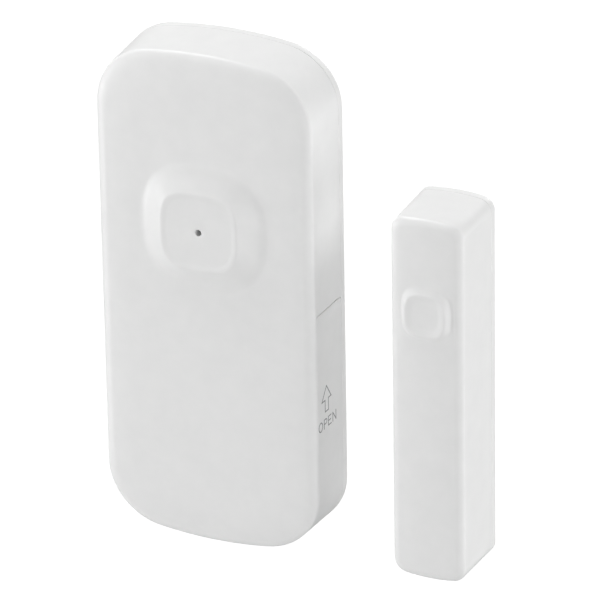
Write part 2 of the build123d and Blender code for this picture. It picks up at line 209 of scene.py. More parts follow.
def glass_mat():
    """Greenish reed-switch glass."""
    m, nt, bs = new_mat("reed_glass")
    vec = coords(nt)
    mot = noise_tex(nt, vec, 700.0, 2.0)
    nt.links.new(ramp(nt, mot, [(0.3, (0.60, 0.80, 0.68)), (0.7, (0.70, 0.88, 0.76))]), bs.inputs["Base Color"])
    nt.links.new(rng(nt, mot, 0.03, 0.08, 0.3, 0.7), bs.inputs["Roughness"])
    bs.inputs["Transmission Weight"].default_value = 0.85
    bs.inputs["IOR"].default_value = 1.48
    bump(nt, bs, mot, 0.05, 0.01 * MM)
    return m


def led_mat():
    """Milky encapsulant over a yellowish phosphor."""
    m, nt, bs = new_mat("led_lens")
    vec = coords(nt)
    mot = noise_tex(nt, vec, 1500.0, 3.0)
    nt.links.new(ramp(nt, mot, [(0.3, (0.72, 0.66, 0.36)), (0.7, (0.84, 0.80, 0.55))]), bs.inputs["Base Color"])
    nt.links.new(rng(nt, mot, 0.12, 0.25, 0.3, 0.7), bs.inputs["Roughness"])
    bs.inputs["Subsurface Weight"].default_value = 0.25
    bs.inputs["Subsurface Scale"].default_value = 0.0004
    bump(nt, bs, mot, 0.1, 0.005 * MM)
    return m


MARK = ink_mat()
FOAM = foam_mat()
BOARD = board_mat()
GLASS = glass_mat()
LED = led_mat()
ZINC = metal("zinc_screw", (0.52, 0.53, 0.56), (0.70, 0.71, 0.74), rough=(0.22, 0.42), scale=3000.0, dirt=900.0)
CELL = metal("cell_steel", (0.66, 0.66, 0.65), (0.78, 0.78, 0.77), rough=(0.18, 0.32), brush=(1, 1, 14), scale=700.0, dirt=140.0, strength=0.18, depth_mm=0.006)
SPRING = metal("spring_contact", (0.66, 0.60, 0.46), (0.80, 0.75, 0.62), rough=(0.2, 0.36), brush=(8, 1, 1), scale=900.0, dirt=250.0)
BLADE = metal("reed_metal", (0.62, 0.58, 0.54), (0.74, 0.71, 0.68), rough=(0.2, 0.34), brush=(6, 6, 1), scale=2400.0, dirt=700.0)
CAN = metal("can_metal", (0.70, 0.70, 0.69), (0.82, 0.82, 0.81), rough=(0.2, 0.34), brush=(10, 1, 1), scale=1500.0, dirt=600.0)
TINNED = metal("tinned_wire", (0.68, 0.68, 0.68), (0.84, 0.84, 0.84), rough=(0.16, 0.34), scale=2600.0, dirt=900.0, strength=0.3)
NICKEL = metal("magnet_nickel", (0.60, 0.59, 0.57), (0.74, 0.73, 0.71), rough=(0.16, 0.3), scale=1800.0, dirt=160.0, strength=0.15)
GOLD = metal("gold_finish", (0.80, 0.58, 0.24), (0.92, 0.70, 0.34), rough=(0.24, 0.38), scale=2200.0, dirt=700.0)
TRACE = plastic("mask_over_copper", (0.012, 0.105, 0.045), (0.018, 0.135, 0.058), rough=(0.2, 0.32), grain=5000.0)
SILK = plastic("silkscreen", (0.66, 0.66, 0.64), (0.76, 0.76, 0.74), rough=(0.55, 0.7), grain=7000.0, strength=0.5)
TANT = plastic("tantalum_case", (0.62, 0.36, 0.045), (0.72, 0.44, 0.075), rough=(0.4, 0.55), grain=6000.0)
CERAMIC = plastic("chip_ceramic", (0.40, 0.29, 0.17), (0.50, 0.37, 0.23), rough=(0.45, 0.6), grain=8000.0, mottle=1800.0, strength=0.4)
RESIST = plastic("chip_resistor", (0.020, 0.022, 0.026), (0.034, 0.036, 0.042), rough=(0.25, 0.4), grain=6000.0, mottle=1800.0)
ALUMINA = plastic("alumina_body", (0.72, 0.72, 0.70), (0.80, 0.80, 0.78), rough=(0.45, 0.6), grain=7000.0, mottle=1500.0)
PRINT = plastic("component_print", (0.50, 0.50, 0.49), (0.60, 0.60, 0.58), rough=(0.5, 0.65), grain=7000.0)
BAND = plastic("tantalum_band", (0.22, 0.07, 0.02), (0.28, 0.10, 0.03), rough=(0.45, 0.6), grain=7000.0)


# ---------------------------------------------------------------- mesh kit
class Build:
    """Vertices in (u, v, w) millimetres and faces by index; caps are flat areas
    between closed loops, filled with triangles."""

    def __init__(self):
        self.v, self.f, self.caps = [], [], []

    def add(self, pts):
        i = len(self.v)
        self.v.extend(pts)
        return list(range(i, len(self.v)))

    def bridge(self, a, b, closed=True):
        n = len(a)
        for i in range(n if closed else n - 1):
            j = (i + 1) % n
            self.f.append((a[i], a[j], b[j], b[i]))

    def loft(self, rings, closed=True):
        for a, b in zip(rings[:-1], rings[1:]):
            self.bridge(a, b, closed)

    def face(self, idx):
        self.f.append(tuple(idx))

    def cap(self, *loops):
        self.caps.append(loops)

    # ---- small solids, so that one piece can hold many of them
    def stack(self, levels, cap_lo=True, cap_hi=True):
        """Rings of equal length, one above the other, closed at both ends."""
        rings = [self.add(l) for l in levels]
        self.loft(rings)
        if cap_lo:
            self.face(rings[0])
        if cap_hi:
            self.face(rings[-1])
        return rings

    def prism(self, u, v, a, b, r, w0, w1, e=0.1, e_lo=None, n=5, turn=0.0):
        """Rounded block with softened top and bottom edges."""
        e_lo = e if e_lo is None else e_lo
        t = math.radians(turn)
        lv = []
        prof = []
        if e_lo > 0:
            prof += [(w0, e_lo), (w0 + 0.3 * e_lo, 0.3 * e_lo), (w0 + e_lo, 0.0)]
        else:
            prof += [(w0, 0.0)]
        if e > 0:
            prof += [(w1 - e, 0.0), (w1 - 0.3 * e, 0.3 * e), (w1, e)]
        else:
            prof += [(w1, 0.0)]
        for w, i in prof:
            ring = ring_rect(a - 2 * i, b - 2 * i, max(r - i, 0.02), n)
            lv.append([(u + x * math.cos(t) - y * math.sin(t), v + x * math.sin(t) + y * math.cos(t), w) for x, y in ring])
        return self.stack(lv)

    def box(self, u0, u1, v0, v1, w0, w1, r=0.12, e=0.08, e_lo=None):
        u0, u1 = min(u0, u1), max(u0, u1)
        return self.prism((u0 + u1) / 2, (v0 + v1) / 2, u1 - u0, v1 - v0, r, w0, w1, e, e_lo, n=3)

    def lathe(self, u, v, prof, n=40):
        """Solid of revolution about w; prof is (radius, w) from the bottom up."""
        return self.stack([[(u + r * math.cos(2 * math.pi * k / n), v + r * math.sin(2 * math.pi * k / n), w) for k in range(n)] for r, w in prof])

    def tube_solid(self, u, v, prof, n=40):
        """Ring of revolution: prof is a closed section of (radius, w)."""
        rings = [self.add([(u + r * math.cos(2 * math.pi * k / n), v + r * math.sin(2 * math.pi * k / n), w) for k in range(n)]) for r, w in prof]
        self.loft(rings + [rings[0]])

    def wire(self, pts, r, n=12, ends=True):
        """Round wire along points already smoothed, in a rotation-free frame."""
        p = [Vector(q) for q in pts]
        tangents = []
        for i in range(len(p)):
            a = p[max(i - 1, 0)]
            b = p[min(i + 1, len(p) - 1)]
            tangents.append((b - a).normalized())
        ref = Vector((0, 0, 1)) if abs(tangents[0].z) < 0.9 else Vector((1, 0, 0))
        side = tangents[0].cross(ref).normalized()
        rings = []
        for i, (q, t) in enumerate(zip(p, tangents)):
            side = (side - t * side.dot(t)).normalized()
            other = t.cross(side)
            rings.append(self.add([tuple(q + side * (r * math.cos(2 * math.pi * k / n)) + other * (r * math.sin(2 * math.pi * k / n))) for k in range(n)]))
        self.loft(rings)
        if ends:
            self.face(rings[0])
            self.face(rings[-1])

    def ribbon(self, pts, width, w0, w1):
        """Flat strip of constant width along (u, v) points, with mitred turns."""
        n = len(pts)
        lo, hi = [], []
        for i, (x, y) in enumerate(pts):
            ax, ay = pts[max(i - 1, 0)]
            bx, by = pts[min(i + 1, n - 1)]
            d1 = Vector((x - ax, y - ay)) if i > 0 else Vector((bx - x, by - y))
            d2 = Vector((bx - x, by - y)) if i < n - 1 else Vector((x - ax, y - ay))
            d1.normalize()
            d2.normalize()
            nrm = Vector((-(d1.y + d2.y), d1.x + d2.x))
            nrm.normalize()
            k = width / 2 / max(0.4, nrm.dot(Vector((-d1.y, d1.x))))
            lo.append((x - nrm.x * k, y - nrm.y * k))
            hi.append((x + nrm.x * k, y + nrm.y * k))
        a = self.add([(x, y, w0) for x, y in lo])
        b = self.add([(x, y, w0) for x, y in hi])
        c = self.add([(x, y, w1) for x, y in lo])
        d = self.add([(x, y, w1) for x, y in hi])
        for i in range(n - 1):
            self.face((a[i], a[i + 1], b[i + 1], b[i]))
            self.face((c[i], d[i], d[i + 1], c[i + 1]))
            self.face((a[i], c[i], c[i + 1], a[i + 1]))
            self.face((b[i], b[i + 1], d[i + 1], d[i]))
        self.face((a[0], b[0], d[0], c[0]))
        self.face((a[-1], c[-1], d[-1], b[-1]))

    def loop_ribbon(self, pts, width, place, lo, hi):
        """Closed stroke through pts; place(x, y, h) lifts it on to a surface."""
        n = len(pts)
        ins, outs = [], []
        for i in range(n):
            p0, p1, p2 = Vector(pts[i - 1]), Vector(pts[i]), Vector(pts[(i + 1) % n])
            d1, d2 = (p1 - p0).normalized(), (p2 - p1).normalized()
            nrm = Vector((-(d1.y + d2.y), d1.x + d2.x)).normalized()
            k = width / 2 / max(0.45, nrm.dot(Vector((-d1.y, d1.x))))
            ins.append(p1 - nrm * k)
            outs.append(p1 + nrm * k)
        rings = [self.add([place(q.x, q.y, h) for q in ring]) for ring, h in ((ins, lo), (ins, hi), (outs, hi), (outs, lo))]
        self.loft(rings + [rings[0]])

    def stroke(self, pts, width, place, lo, hi):
        """Open stroke through pts, laid on a surface by place(x, y, h)."""
        start = len(self.v)
        self.ribbon(pts, width, lo, hi)
        for i in range(start, len(self.v)):
            x, y, h = self.v[i]
            self.v[i] = place(x, y, h)

    def make(self, name, mat, body, slot, shift=(0, 0, 0), bevel=None, sharp=38.0, segs=2, weight=True):
        bm = bmesh.new()
        vs = [bm.verts.new(p) for p in self.v]
        bm.verts.ensure_lookup_table()
        for f in self.f:
            bm.faces.new([vs[i] for i in f])
        for loops in self.caps:
            es = []
            for loop in loops:
                for i in range(len(loop)):
                    a, b = vs[loop[i]], vs[loop[(i + 1) % len(loop)]]
                    e = bm.edges.get((a, b)) or bm.edges.new((a, b))
                    es.append(e)
            bmesh.ops.triangle_fill(bm, use_beauty=True, use_dissolve=False, edges=es)
        loose = [v for v in bm.verts if not v.link_faces]
        bmesh.ops.delete(bm, geom=loose, context="VERTS")
        bmesh.ops.recalc_face_normals(bm, faces=bm.faces)
        open_edges = sum(1 for e in bm.edges if len(e.link_faces) != 2)
        if open_edges:
            print("OPEN EDGES", name, open_edges)
        bmesh.ops.translate(bm, verts=bm.verts, vec=shift)
        bmesh.ops.transform(bm, matrix=Matrix.Scale(MM, 4) @ TO_ROW, verts=bm.verts)
        return finish(bm, name, mat, body, bevel, sharp, segs, weight)


def finish(bm, name, mat, body, bevel=None, sharp=38.0, segs=2, weight=True):
    me = bpy.data.meshes.new(name)
    bm.to_mesh(me)
    bm.free()
    me.polygons.foreach_set("use_smooth", [True] * len(me.polygons))
    me.set_sharp_from_angle(angle=math.radians(sharp))
    me.materials.append(mat)
    ob = bpy.data.objects.new(name, me)
    scene.collection.objects.link(ob)
    if bevel:
        b = ob.modifiers.new("edge", "BEVEL")
        b.width = bevel * MM
        b.segments = segs
        b.limit_method = "ANGLE"
        b.angle_limit = math.radians(50)
        b.harden_normals = False
    if weight:
        w = ob.modifiers.new("normals", "WEIGHTED_NORMAL")
        w.keep_sharp = True
        w.weight = 60
    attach(ob, body)
    return ob


def ring_rect(a, b, r, n=8):
    """Rounded rectangle, counter-clockwise, as (u, v)."""
    pts = []
    for cx, cy, a0 in ((a / 2 - r, b / 2 - r, 0), (-a / 2 + r, b / 2 - r, 90), (-a / 2 + r, -b / 2 + r, 180), (a / 2 - r, -b / 2 + r, 270)):
        for k in range(n + 1):
            t = math.radians(a0 + 90 * k / n)
            pts.append((cx + r * math.cos(t), cy + r * math.sin(t)))
    return pts


def ring_circle(r, n=40, u=0.0, v=0.0):
    return [(u + r * math.cos(2 * math.pi * k / n), v + r * math.sin(2 * math.pi * k / n)) for k in range(n)]


def up(pts, w, du=0.0, dv=0.0):
    return [(p[0] + du, p[1] + dv, w) for p in pts]


class Outline:
    """The bowed outline: two straight sides, four corner arcs and two shallow
    end arcs, always with the same stations, so that rings match up."""

    def __init__(self, w_, h_, re, rc, sv, nc=16, ne=28):
        self.w, self.h, self.re, self.rc, self.sv, self.nc, self.ne = w_, h_, re, rc, list(sv), nc, ne
        m = len(self.sv) + 2
        self.n = 2 * m + 4 * nc + 2 * ne - 2
        self.right = {round(v, 3): i + 1 for i, v in enumerate(self.sv)}
        top = m + 2 * nc + ne - 1
        self.left = {round(v, 3): top + m - 2 - i for i, v in enumerate(self.sv)}
        self.n = len(self.ring(0.0))

    def ring(self, inset, rc=None):
        rc = max(self.rc - inset, 0.25) if rc is None else rc
        w2, h2, re = self.w / 2 - inset, self.h / 2 - inset, self.re - inset
        ce = h2 - re
        cx = w2 - rc
        zc = ce + math.sqrt((re - rc) ** 2 - cx ** 2)
        j = math.atan2(zc - ce, cx)
        right = [(w2, -zc)] + [(w2, v) for v in self.sv] + [(w2, zc)]
        corner = [(cx + rc * math.cos(j * k / self.nc), zc + rc * math.sin(j * k / self.nc)) for k in range(1, self.nc + 1)]
        end = []
        for k in range(1, self.ne + 1):
            t = j + (math.pi - 2 * j) * k / self.ne
            end.append((re * math.cos(t), ce + re * math.sin(t)))
        tl = [(-cx - rc * math.cos(j * (1 - k / self.nc)), zc + rc * math.sin(j * (1 - k / self.nc))) for k in range(1, self.nc + 1)]
        left = [(-w2, v) for v in reversed(self.sv)] + [(-w2, -zc)]
        bl = [(-cx - rc * math.cos(j * k / self.nc), -zc - rc * math.sin(j * k / self.nc)) for k in range(1, self.nc + 1)]
        bot = [(-p[0], -p[1]) for p in end]
        br = [(cx + rc * math.cos(j * (1 - k / self.nc)), -zc - rc * math.sin(j * (1 - k / self.nc))) for k in range(1, self.nc)]
        return right + corner + end + tl + left + bl + bot + br


def squircle(half_u, half_v, n, theta):
    c, s = math.cos(theta), math.sin(theta)
    r = (abs(c / half_u) ** n + abs(s / half_v) ** n) ** (-1.0 / n)
    return r * c, r * s


def lerp(a, b, t):
    return a + (b - a) * t


# ---------------------------------------------------------------- main cover
def draft(w):
    return DRAFT * w / D


CROWN = 0.28
EASE = 0.08
R_EDGE, EDGE_H = 1.8, 0.95
EDGE_W0 = D - CROWN - EDGE_H


def lean(w):
    """How far the walls have turned in at height w, as they round into the front."""
    t = max(0.0, (w - EDGE_W0) / EDGE_H)
    return R_EDGE * (1 - math.sqrt(max(0.0, 1 - t * t)))


def closing(v, lo=25.0, hi=29.5):
    """0 along the straight sides, 1 round the top end, where the joint closes up."""
    t = min(1.0, max(0.0, (v - lo) / (hi - lo)))
    return t * t * (3 - 2 * t)



def front(u, v, i=99.0):
    """Height of the transmitter's crowned front at (u, v), eased towards the edge."""
    e = EASE * max(0.0, 1 - (i - 2.3) / 2.6) ** 2 if i < 4.9 else 0.0
    return D - CROWN * (abs(u) / 16.1) ** 2.0 - 0.22 * (abs(v) / 36.5) ** 6 - e


def rc_front(w):
    return R_COR + 0.05 * w


sv = [x for x in range(-23, 0)] + [-0.5, SEAM_HI, SEAM_HI + SEAM_V, 1.2] + [x for x in range(2, 24)]
OUT = Outline(W, H, R_END, R_COR, sv)
N = OUT.n
ia, ib = OUT.right[round(SEAM_HI, 3)], OUT.left[round(SEAM_HI, 3)]
upper = list(range(ia, ib + 1))

B = Build()
cover_rim = STRIP + LAP
walls = [(cover_rim, 0.05), (cover_rim + 0.06, 0.0), (2.6, 0.0), (4.2, 0.0), (5.8, 0.0), (7.4, 0.0)] + [(w, lean(w)) for w in (8.1, 8.35, 8.6, 8.82, 9.04)]
outer_levels = []
for w, extra in walls:
    ring = OUT.ring(draft(w) + extra, rc_front(w) - extra)
    pts = []
    for i in upper:
        u, v = ring[i]
        if i in (ia, ib):
            u -= math.copysign(SEAM_V * min(1.0, (COVER_UNDER - w) / 0.7, 0.25 + (w - cover_rim) / 0.5), u)
        pts.append((u, v, w - (LAP - 0.005) * closing(v) if w < 2.0 else w))
    outer_levels.append(B.add(pts))
B.loft(outer_levels, closed=False)
base_ring = B.add(up(OUT.ring(draft(COVER_UNDER) + lean(COVER_UNDER), rc_front(COVER_UNDER) - lean(COVER_UNDER)), COVER_UNDER))
B.bridge(outer_levels[-1], [base_ring[i] for i in upper], closed=False)
# rounded front edge, then the eased and crowned front
rings = [base_ring]
steps = 12
if COVER_UNDER < EDGE_W0 - 0.05:
    rings.append(B.add(up(OUT.ring(draft(EDGE_W0), rc_front(EDGE_W0)), EDGE_W0)))
EDGE_FROM = max(COVER_UNDER, EDGE_W0)
phi_0 = math.asin((EDGE_FROM - EDGE_W0) / EDGE_H)
for k in range(1, steps + 1):
    phi = lerp(phi_0, math.pi / 2, k / steps)
    t = (math.sin(phi) - math.sin(phi_0)) / (1 - math.sin(phi_0))
    ins = draft(EDGE_FROM) + R_EDGE * (1 - math.cos(phi))
    ring = OUT.ring(ins, lerp(rc_front(EDGE_FROM) - lean(EDGE_FROM), 9.7, (math.cos(phi_0) - math.cos(phi)) / math.cos(phi_0)))
    rings.append(B.add([(u, v, lerp(EDGE_FROM, front(u, v, R_EDGE), t)) for u, v in ring]))
for i_, rc_ in ((2.6, 9.6), (3.1, 9.3), (3.9, 8.8), (4.9, 8.2)):
    ring = OUT.ring(i_ + 0.1, rc_)
    rings.append(B.add([(u, v, front(u, v, i_)) for u, v in ring]))
ra = OUT.ring(5.0, 8.2)
theta = [math.atan2(v - PAD_V, u) for u, v in ra]
FOOT, PLAT = 9.6, 5.50
foot = [squircle(FOOT, FOOT, 2.4, t) for t in theta]
for k in range(1, 12):
    t = k / 12
    pts = []
    for (u0, v0), (u1, v1) in zip(ra, foot):
        u, v = lerp(u0, u1, t), lerp(v0, PAD_V + v1, t)
        pts.append((u, v, front(u, v)))
    rings.append(B.add(pts))


def skirt_rise(x, span, soft, tight, height):
    """Rise at x from the foot: soft concave start, even slope, tight rounding at the top."""
    s = height / (span - soft / 2 - tight / 2)
    if x < soft:
        return s * x * x / (2 * soft)
    if x < span - tight:
        return s * (x - soft / 2)
    y = span - x
    return height - s * y * y / (2 * tight)


SPAN, SOFT, TIGHT = FOOT - PLAT, 1.8, 0.36
stations = [SPAN * k / 15 for k in range(0, 14)] + [SPAN - TIGHT - 0.04, SPAN - 0.26, SPAN - 0.18, SPAN - 0.10, SPAN - 0.03, SPAN]
stations = sorted(x for x in stations if not (SPAN - TIGHT - 0.2 < x < SPAN - TIGHT - 0.05))
for x in stations:
    t = x / SPAN
    half, n = FOOT - x, lerp(2.4, 3.25, min(1.0, t * 1.1))
    rise = skirt_rise(x, SPAN, SOFT, TIGHT, 1.0)
    pts = []
    for th in theta:
        u, v = squircle(half, half, n, th)
        f0 = front(u, v + PAD_V)
        pts.append((u, v + PAD_V, f0 + (D + PAD_H - f0) * rise))
    rings.append(B.add(pts))
DISH = 0.06
dish = [(5.42 - 0.72 * k / 7, DISH * (0.5 - 0.5 * math.cos(math.pi * k / 7))) for k in range(1, 8)]
for half, n, h in [(r_, 3.2, PAD_H - d_) for r_, d_ in dish] + [(r_, n_, PAD_H - DISH) for r_, n_ in ((3.8, 3.0), (2.8, 2.7), (1.8, 2.3), (1.0, 2.0), (PIN_R + 0.06, 2.0))] + [(PIN_R + 0.02, 2.0, PAD_H - DISH - 0.015), (PIN_R, 2.0, PAD_H - DISH - 0.06), (PIN_R, 2.0, 0.9)]:
    rings.append(B.add([(squircle(half, half, n, th)[0], squircle(half, half, n, th)[1] + PAD_V, D + h) for th in theta]))
pin_in = B.add([(PIN_R * math.cos(th), PIN_R * math.sin(th) + PAD_V, D + 0.1) for th in theta])
rings.append(pin_in)
B.loft(rings)
# inside: wall, rim, wall ends, underside with the hollow of the button pad
inner_levels = []
for w in (cover_rim, 4.5, 7.0, COVER_UNDER):
    ring = OUT.ring(WALL)
    inner_levels.append(B.add([(ring[i][0], ring[i][1], w - (LAP - 0.005) * closing(ring[i][1]) if w < 2.0 else w) for i in upper]))
B.loft(inner_levels, closed=False)
B.bridge(inner_levels[0], outer_levels[0], closed=False)
for e in (0, -1):
    B.face([lv[e] for lv in outer_levels] + [base_ring[upper[e]]] + [lv[e] for lv in reversed(inner_levels)])
rec = ring_rect(8.4, 8.4, 1.8, 6)
rec_lo, rec_hi = B.add(up(rec, COVER_UNDER, 0, PAD_V)), B.add(up(rec, D + 0.1, 0, PAD_V))
B.bridge(rec_lo, rec_hi)
B.cap(rec_hi, pin_in)
lower_idx = [i % N for i in range(ib, ia + N + 1)]
loop = [base_ring[i] for i in lower_idx] + inner_levels[-1]
B.cap(loop, rec_lo)
cover = B.make("cover_shell", ABS, "cover", "white_abs", bevel=0.07)
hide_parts("front_cover")

# hooks that run under the skirt's flanges, and lips along the upper walls
def swept(B, section, v0, v1, e=0.12):
    """Constant (u, w) section along v, its ends eased by e."""
    cu = sum(p[0] for p in section) / len(section)
    cw = sum(p[1] for p in section) / len(section)
    rings = []
    for v, k in ((v0, 1), (v0 + e * 0.35, 0.35), (v0 + e, 0), (v1 - e, 0), (v1 - e * 0.35, 0.35), (v1, 1)):
        ring = []
        m = len(section)
        for i in range(m):
            p0, p1, p2 = Vector(section[i - 1]), Vector(section[i]), Vector(section[(i + 1) % m])
            d1, d2 = (p1 - p0).normalized(), (p2 - p1).normalized()
            nrm = Vector((-(d1.y + d2.y), d1.x + d2.x))
            nrm = nrm.normalized() if nrm.length > 1e-6 else Vector((-d1.y, d1.x))
            inward = nrm / max(0.5, nrm.dot(Vector((-d1.y, d1.x))))
            q = p1 + inward * (e * 0.6 * k)
            ring.append((q.x, v, q.y))
        rings.append(B.add(ring))
    B.loft(rings)
    B.cap(rings[0])
    B.cap(rings[-1])


def flip(section, s):
    """Mirror a (u, w) section for the left side, keeping it counter-clockwise."""
    return section if s > 0 else [(-u, w) for u, w in reversed(section)]


B = Build()
for s in (1, -1):
    swept(B, flip([(12.3, 7.4), (14.15, 7.4), (14.15, 7.95), (14.0, 8.1), (13.1, 8.1), (13.0, 8.2), (13.0, 9.35), (12.3, 9.35)], s), -22.5, -1.2)
    swept(B, flip([(13.35, 2.75), (15.0, 2.75), (15.0, 3.95), (14.75, 3.7), (13.5, 3.7), (13.35, 3.55)], s), 1.0, 25.5)
    for k in range(5):
        v = 3.0 + 5.0 * k
        swept(B, flip([(14.1, 3.6), (14.9, 3.6), (14.9, 5.2)], s), v, v + 0.7, e=0.05)
for v0 in (-18.6, -11.9, -5.2):
    for s in (1, -1):
        swept(B, flip([(11.0, 8.9), (12.4, 7.6), (12.4, 9.35), (10.6, 9.35)], s), v0, v0 + 0.8, e=0.06)
for k, (v0, v1) in enumerate(((8.2, 11.8),)):
    B.box(-9.2, -7.4, v0, v1, 8.12, 9.35, r=0.25, e=0.0, e_lo=0.12)
B.lathe(-10.9, 27.2, [(1.15, 7.6), (1.3, 7.75), (1.3, 9.35)])
B.lathe(10.9, 27.2, [(1.15, 7.6), (1.3, 7.75), (1.3, 9.35)])
for v in (-28.0, 21.0, 29.0):
    B.box(-10.5, 10.5, v - 0.4, v + 0.4, 8.65, 9.35, r=0.3, e=0.0, e_lo=0.15)
B.make("cover_hooks_and_ribs", ABS_IN, "cover", "white_abs")

# light pipe collar round the pinhole, inside the pad
B = Build()
B.tube_solid(0, PAD_V, [(0.95, 9.3), (1.35, 9.3), (1.5, 9.45), (1.5, 10.75), (0.95, 10.75)], n=48)
B.make("pinhole_collar", ABS_IN, "cover", "white_abs")


# ---------------------------------------------------------------- rear base
def plate_piece(name, O, dr, step, floor_w, screws, r_hole, r_sink, pocket, body, shift=(0, 0, 0)):
    B = Build()
    prof = [(0.62 * (1 - math.sin(math.radians(15 * k))), 0.62 * (1 - math.cos(math.radians(15 * k)))) for k in range(6, -1, -1)] + [(STRIP - 0.05, 0.0), (STRIP, 0.045), (STRIP, step)]
    rings = [B.add(up(O.ring(dr(w) + i), w)) for w, i in prof]
    rings.append(B.add(up(O.ring(step + 0.04), floor_w - 0.05)))
    rings.append(B.add(up(O.ring(step + 0.10), floor_w)))
    B.loft(rings)
    a, b, r, depth = pocket
    p0, p1, p2 = B.add(up(ring_rect(a, b, r), 0.0)), B.add(up(ring_rect(a, b, r), depth - 0.05)), B.add(up(ring_rect(a - 0.1, b - 0.1, r - 0.05), depth))
    B.loft([p0, p1, p2])
    B.cap(p2)
    backs, fronts = [rings[0], p0], [rings[-1]]
    for v in screws:
        hole = [B.add([(x, y + v, w) for x, y in ring_circle(rad, 48)]) for rad, w in ((r_hole + 0.08, 0.0), (r_hole, 0.08), (r_hole, 0.5), (r_sink - 0.05, floor_w - 0.05), (r_sink + 0.02, floor_w))]
        B.loft(hole)
        backs.append(hole[0])
        fronts.append(hole[-1])
    B.cap(*backs)
    B.cap(*fronts)
    return B.make(name, ABS, body, "white_abs", shift=shift)


def rim_piece(B, O, i0, i1, w0, w1, e=0.12):
    prof = [(w0, i0), (w1 - e, i0), (w1 - 0.3 * e, i0 + 0.3 * e), (w1, i0 + e), (w1, i1 - e), (w1 - 0.3 * e, i1 - 0.3 * e), (w1 - e, i1), (w0, i1)]
    rings = [B.add(up(O.ring(i), w)) for w, i in prof]
    B.loft(rings + [rings[0]])


svb = [x for x in range(-23, -1)] + [-1.2, SEAM_LO - SEAM_SLOPE, SEAM_LO] + [x for x in range(2, 24, 2)]
OB = Outline(W, H, R_END, R_COR, svb)
base_plate = plate_piece("base_plate", OB, draft, WALL + 0.5, 1.7, (SCREW_V, -SCREW_V), 1.7, 3.0, (23.0, 50.0, 3.0, 0.6), "base")
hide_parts("rear_base")
B = Build()
rim_piece(B, OB, WALL + 0.15, WALL + 0.95, STRIP - 0.1, 2.2)
B.make("base_rim", ABS_IN, "base", "white_abs")

# skirt round the lower half, from the plate to just under the cover's front edge
B = Build()
sa, sb = OB.right[round(SEAM_LO, 3)], OB.left[round(SEAM_LO, 3)]
lower = [i % OB.n for i in range(sb, sa + OB.n + 1)]
prof = [(STRIP - 0.12, WALL - 0.3), (STRIP - 0.12, 0.32), (STRIP - 0.02, 0.12), (STRIP + 0.05, 0.03), (STRIP + 0.14, 0.0), (2.6, 0.0), (4.2, 0.0), (5.8, 0.0), (7.4, 0.0)] + [(w, lean(w)) for w in (8.1, 8.35, 8.6, 8.82, 9.0)] + [(SKIRT_TOP - 0.06, lean(SKIRT_TOP - 0.06)), (SKIRT_TOP, lean(SKIRT_TOP) + 0.05),
        (SKIRT_TOP, WALL - 0.12), (SKIRT_TOP - 0.12, WALL), (5.5, WALL), (STRIP + 0.3, WALL), (STRIP - 0.12, WALL - 0.02)]
rings = []
for w, i in prof:
    ring = OB.ring(draft(w) + i if i < 1 else i, rc_front(w) - i if i < 1 else None)
    pts = []
    for k in lower:
        u, v = ring[k]
        if k in (sa, sb) and i < 1:
            u -= math.copysign(SEAM_V * min(1.0, max(0.0, (COVER_UNDER + 0.1 - w) / 0.7)), u)
        pts.append((u, v, w))
    rings.append(B.add(pts))
B.loft(rings + [rings[0]], closed=False)
for e in (0, -1):
    B.face([r[e] for r in rings])
B.make("base_skirt", ABS, "base", "white_abs", bevel=0.05)

# flanges, rail clips, posts and stiffening ribs of the base
B = Build()
for s in (1, -1):
    swept(B, flip([(13.35, 8.35), (13.45, 8.3), (15.0, 8.3), (15.0, 9.0), (13.45, 9.0), (13.35, 8.9)], s), -24.0, -0.4)
    for v0, v1 in ((4.0, 9.0), (17.0, 22.0)):
        swept(B, flip([(12.3, 1.6), (13.0, 1.6), (13.0, 3.8), (13.1, 3.9), (13.85, 3.9), (13.95, 4.0), (13.95, 4.3), (13.65, 4.6), (12.4, 4.6), (12.3, 4.5)], s), v0, v1)
    for v in (-21.0, -14.0, -7.0):
        swept(B, flip([(14.0, 8.4), (14.9, 6.4), (14.9, 8.4)], s), v, v + 0.8, e=0.05)
B.make("base_clips_and_flanges", ABS_IN, "base", "white_abs")
B = Build()
for u, v, drilled in ((-9.5, 24.8, True), (8.5, -25.0, True), (9.5, 24.8, False), (-9.5, -25.2, False)):
    r = 2.0 if drilled else 1.5
    if drilled:
        B.tube_solid(u, v, [(0.78, 1.6), (r + 0.3, 1.6), (r + 0.08, 1.78), (r, 2.0), (r, 2.44), (r - 0.06, 2.5), (0.86, 2.5), (0.78, 2.42)], n=40)
    else:
        B.lathe(u, v, [(r + 0.3, 1.6), (r + 0.08, 1.78), (r, 2.0), (r, 2.44), (r - 0.06, 2.5)])
for u in (-5.0, 5.0):
    B.box(u - 0.35, u + 0.35, -26.5, 26.5, 1.6, 2.1, r=0.3, e=0.1)
for v in (-16.0, -4.0, 8.0, 20.0):
    B.box(-11.5, 11.5, v - 0.35, v + 0.35, 1.6, 2.05, r=0.3, e=0.1)
B.make("base_posts_and_ribs", ABS_IN, "base", "white_abs")

# sliding direction marking on the skirt's right side
def on_side(x, y, h):
    """x runs towards the wall, y up, h outwards from the drafted side face."""
    w = -x
    return (W / 2 - draft(w) + h, y, w)


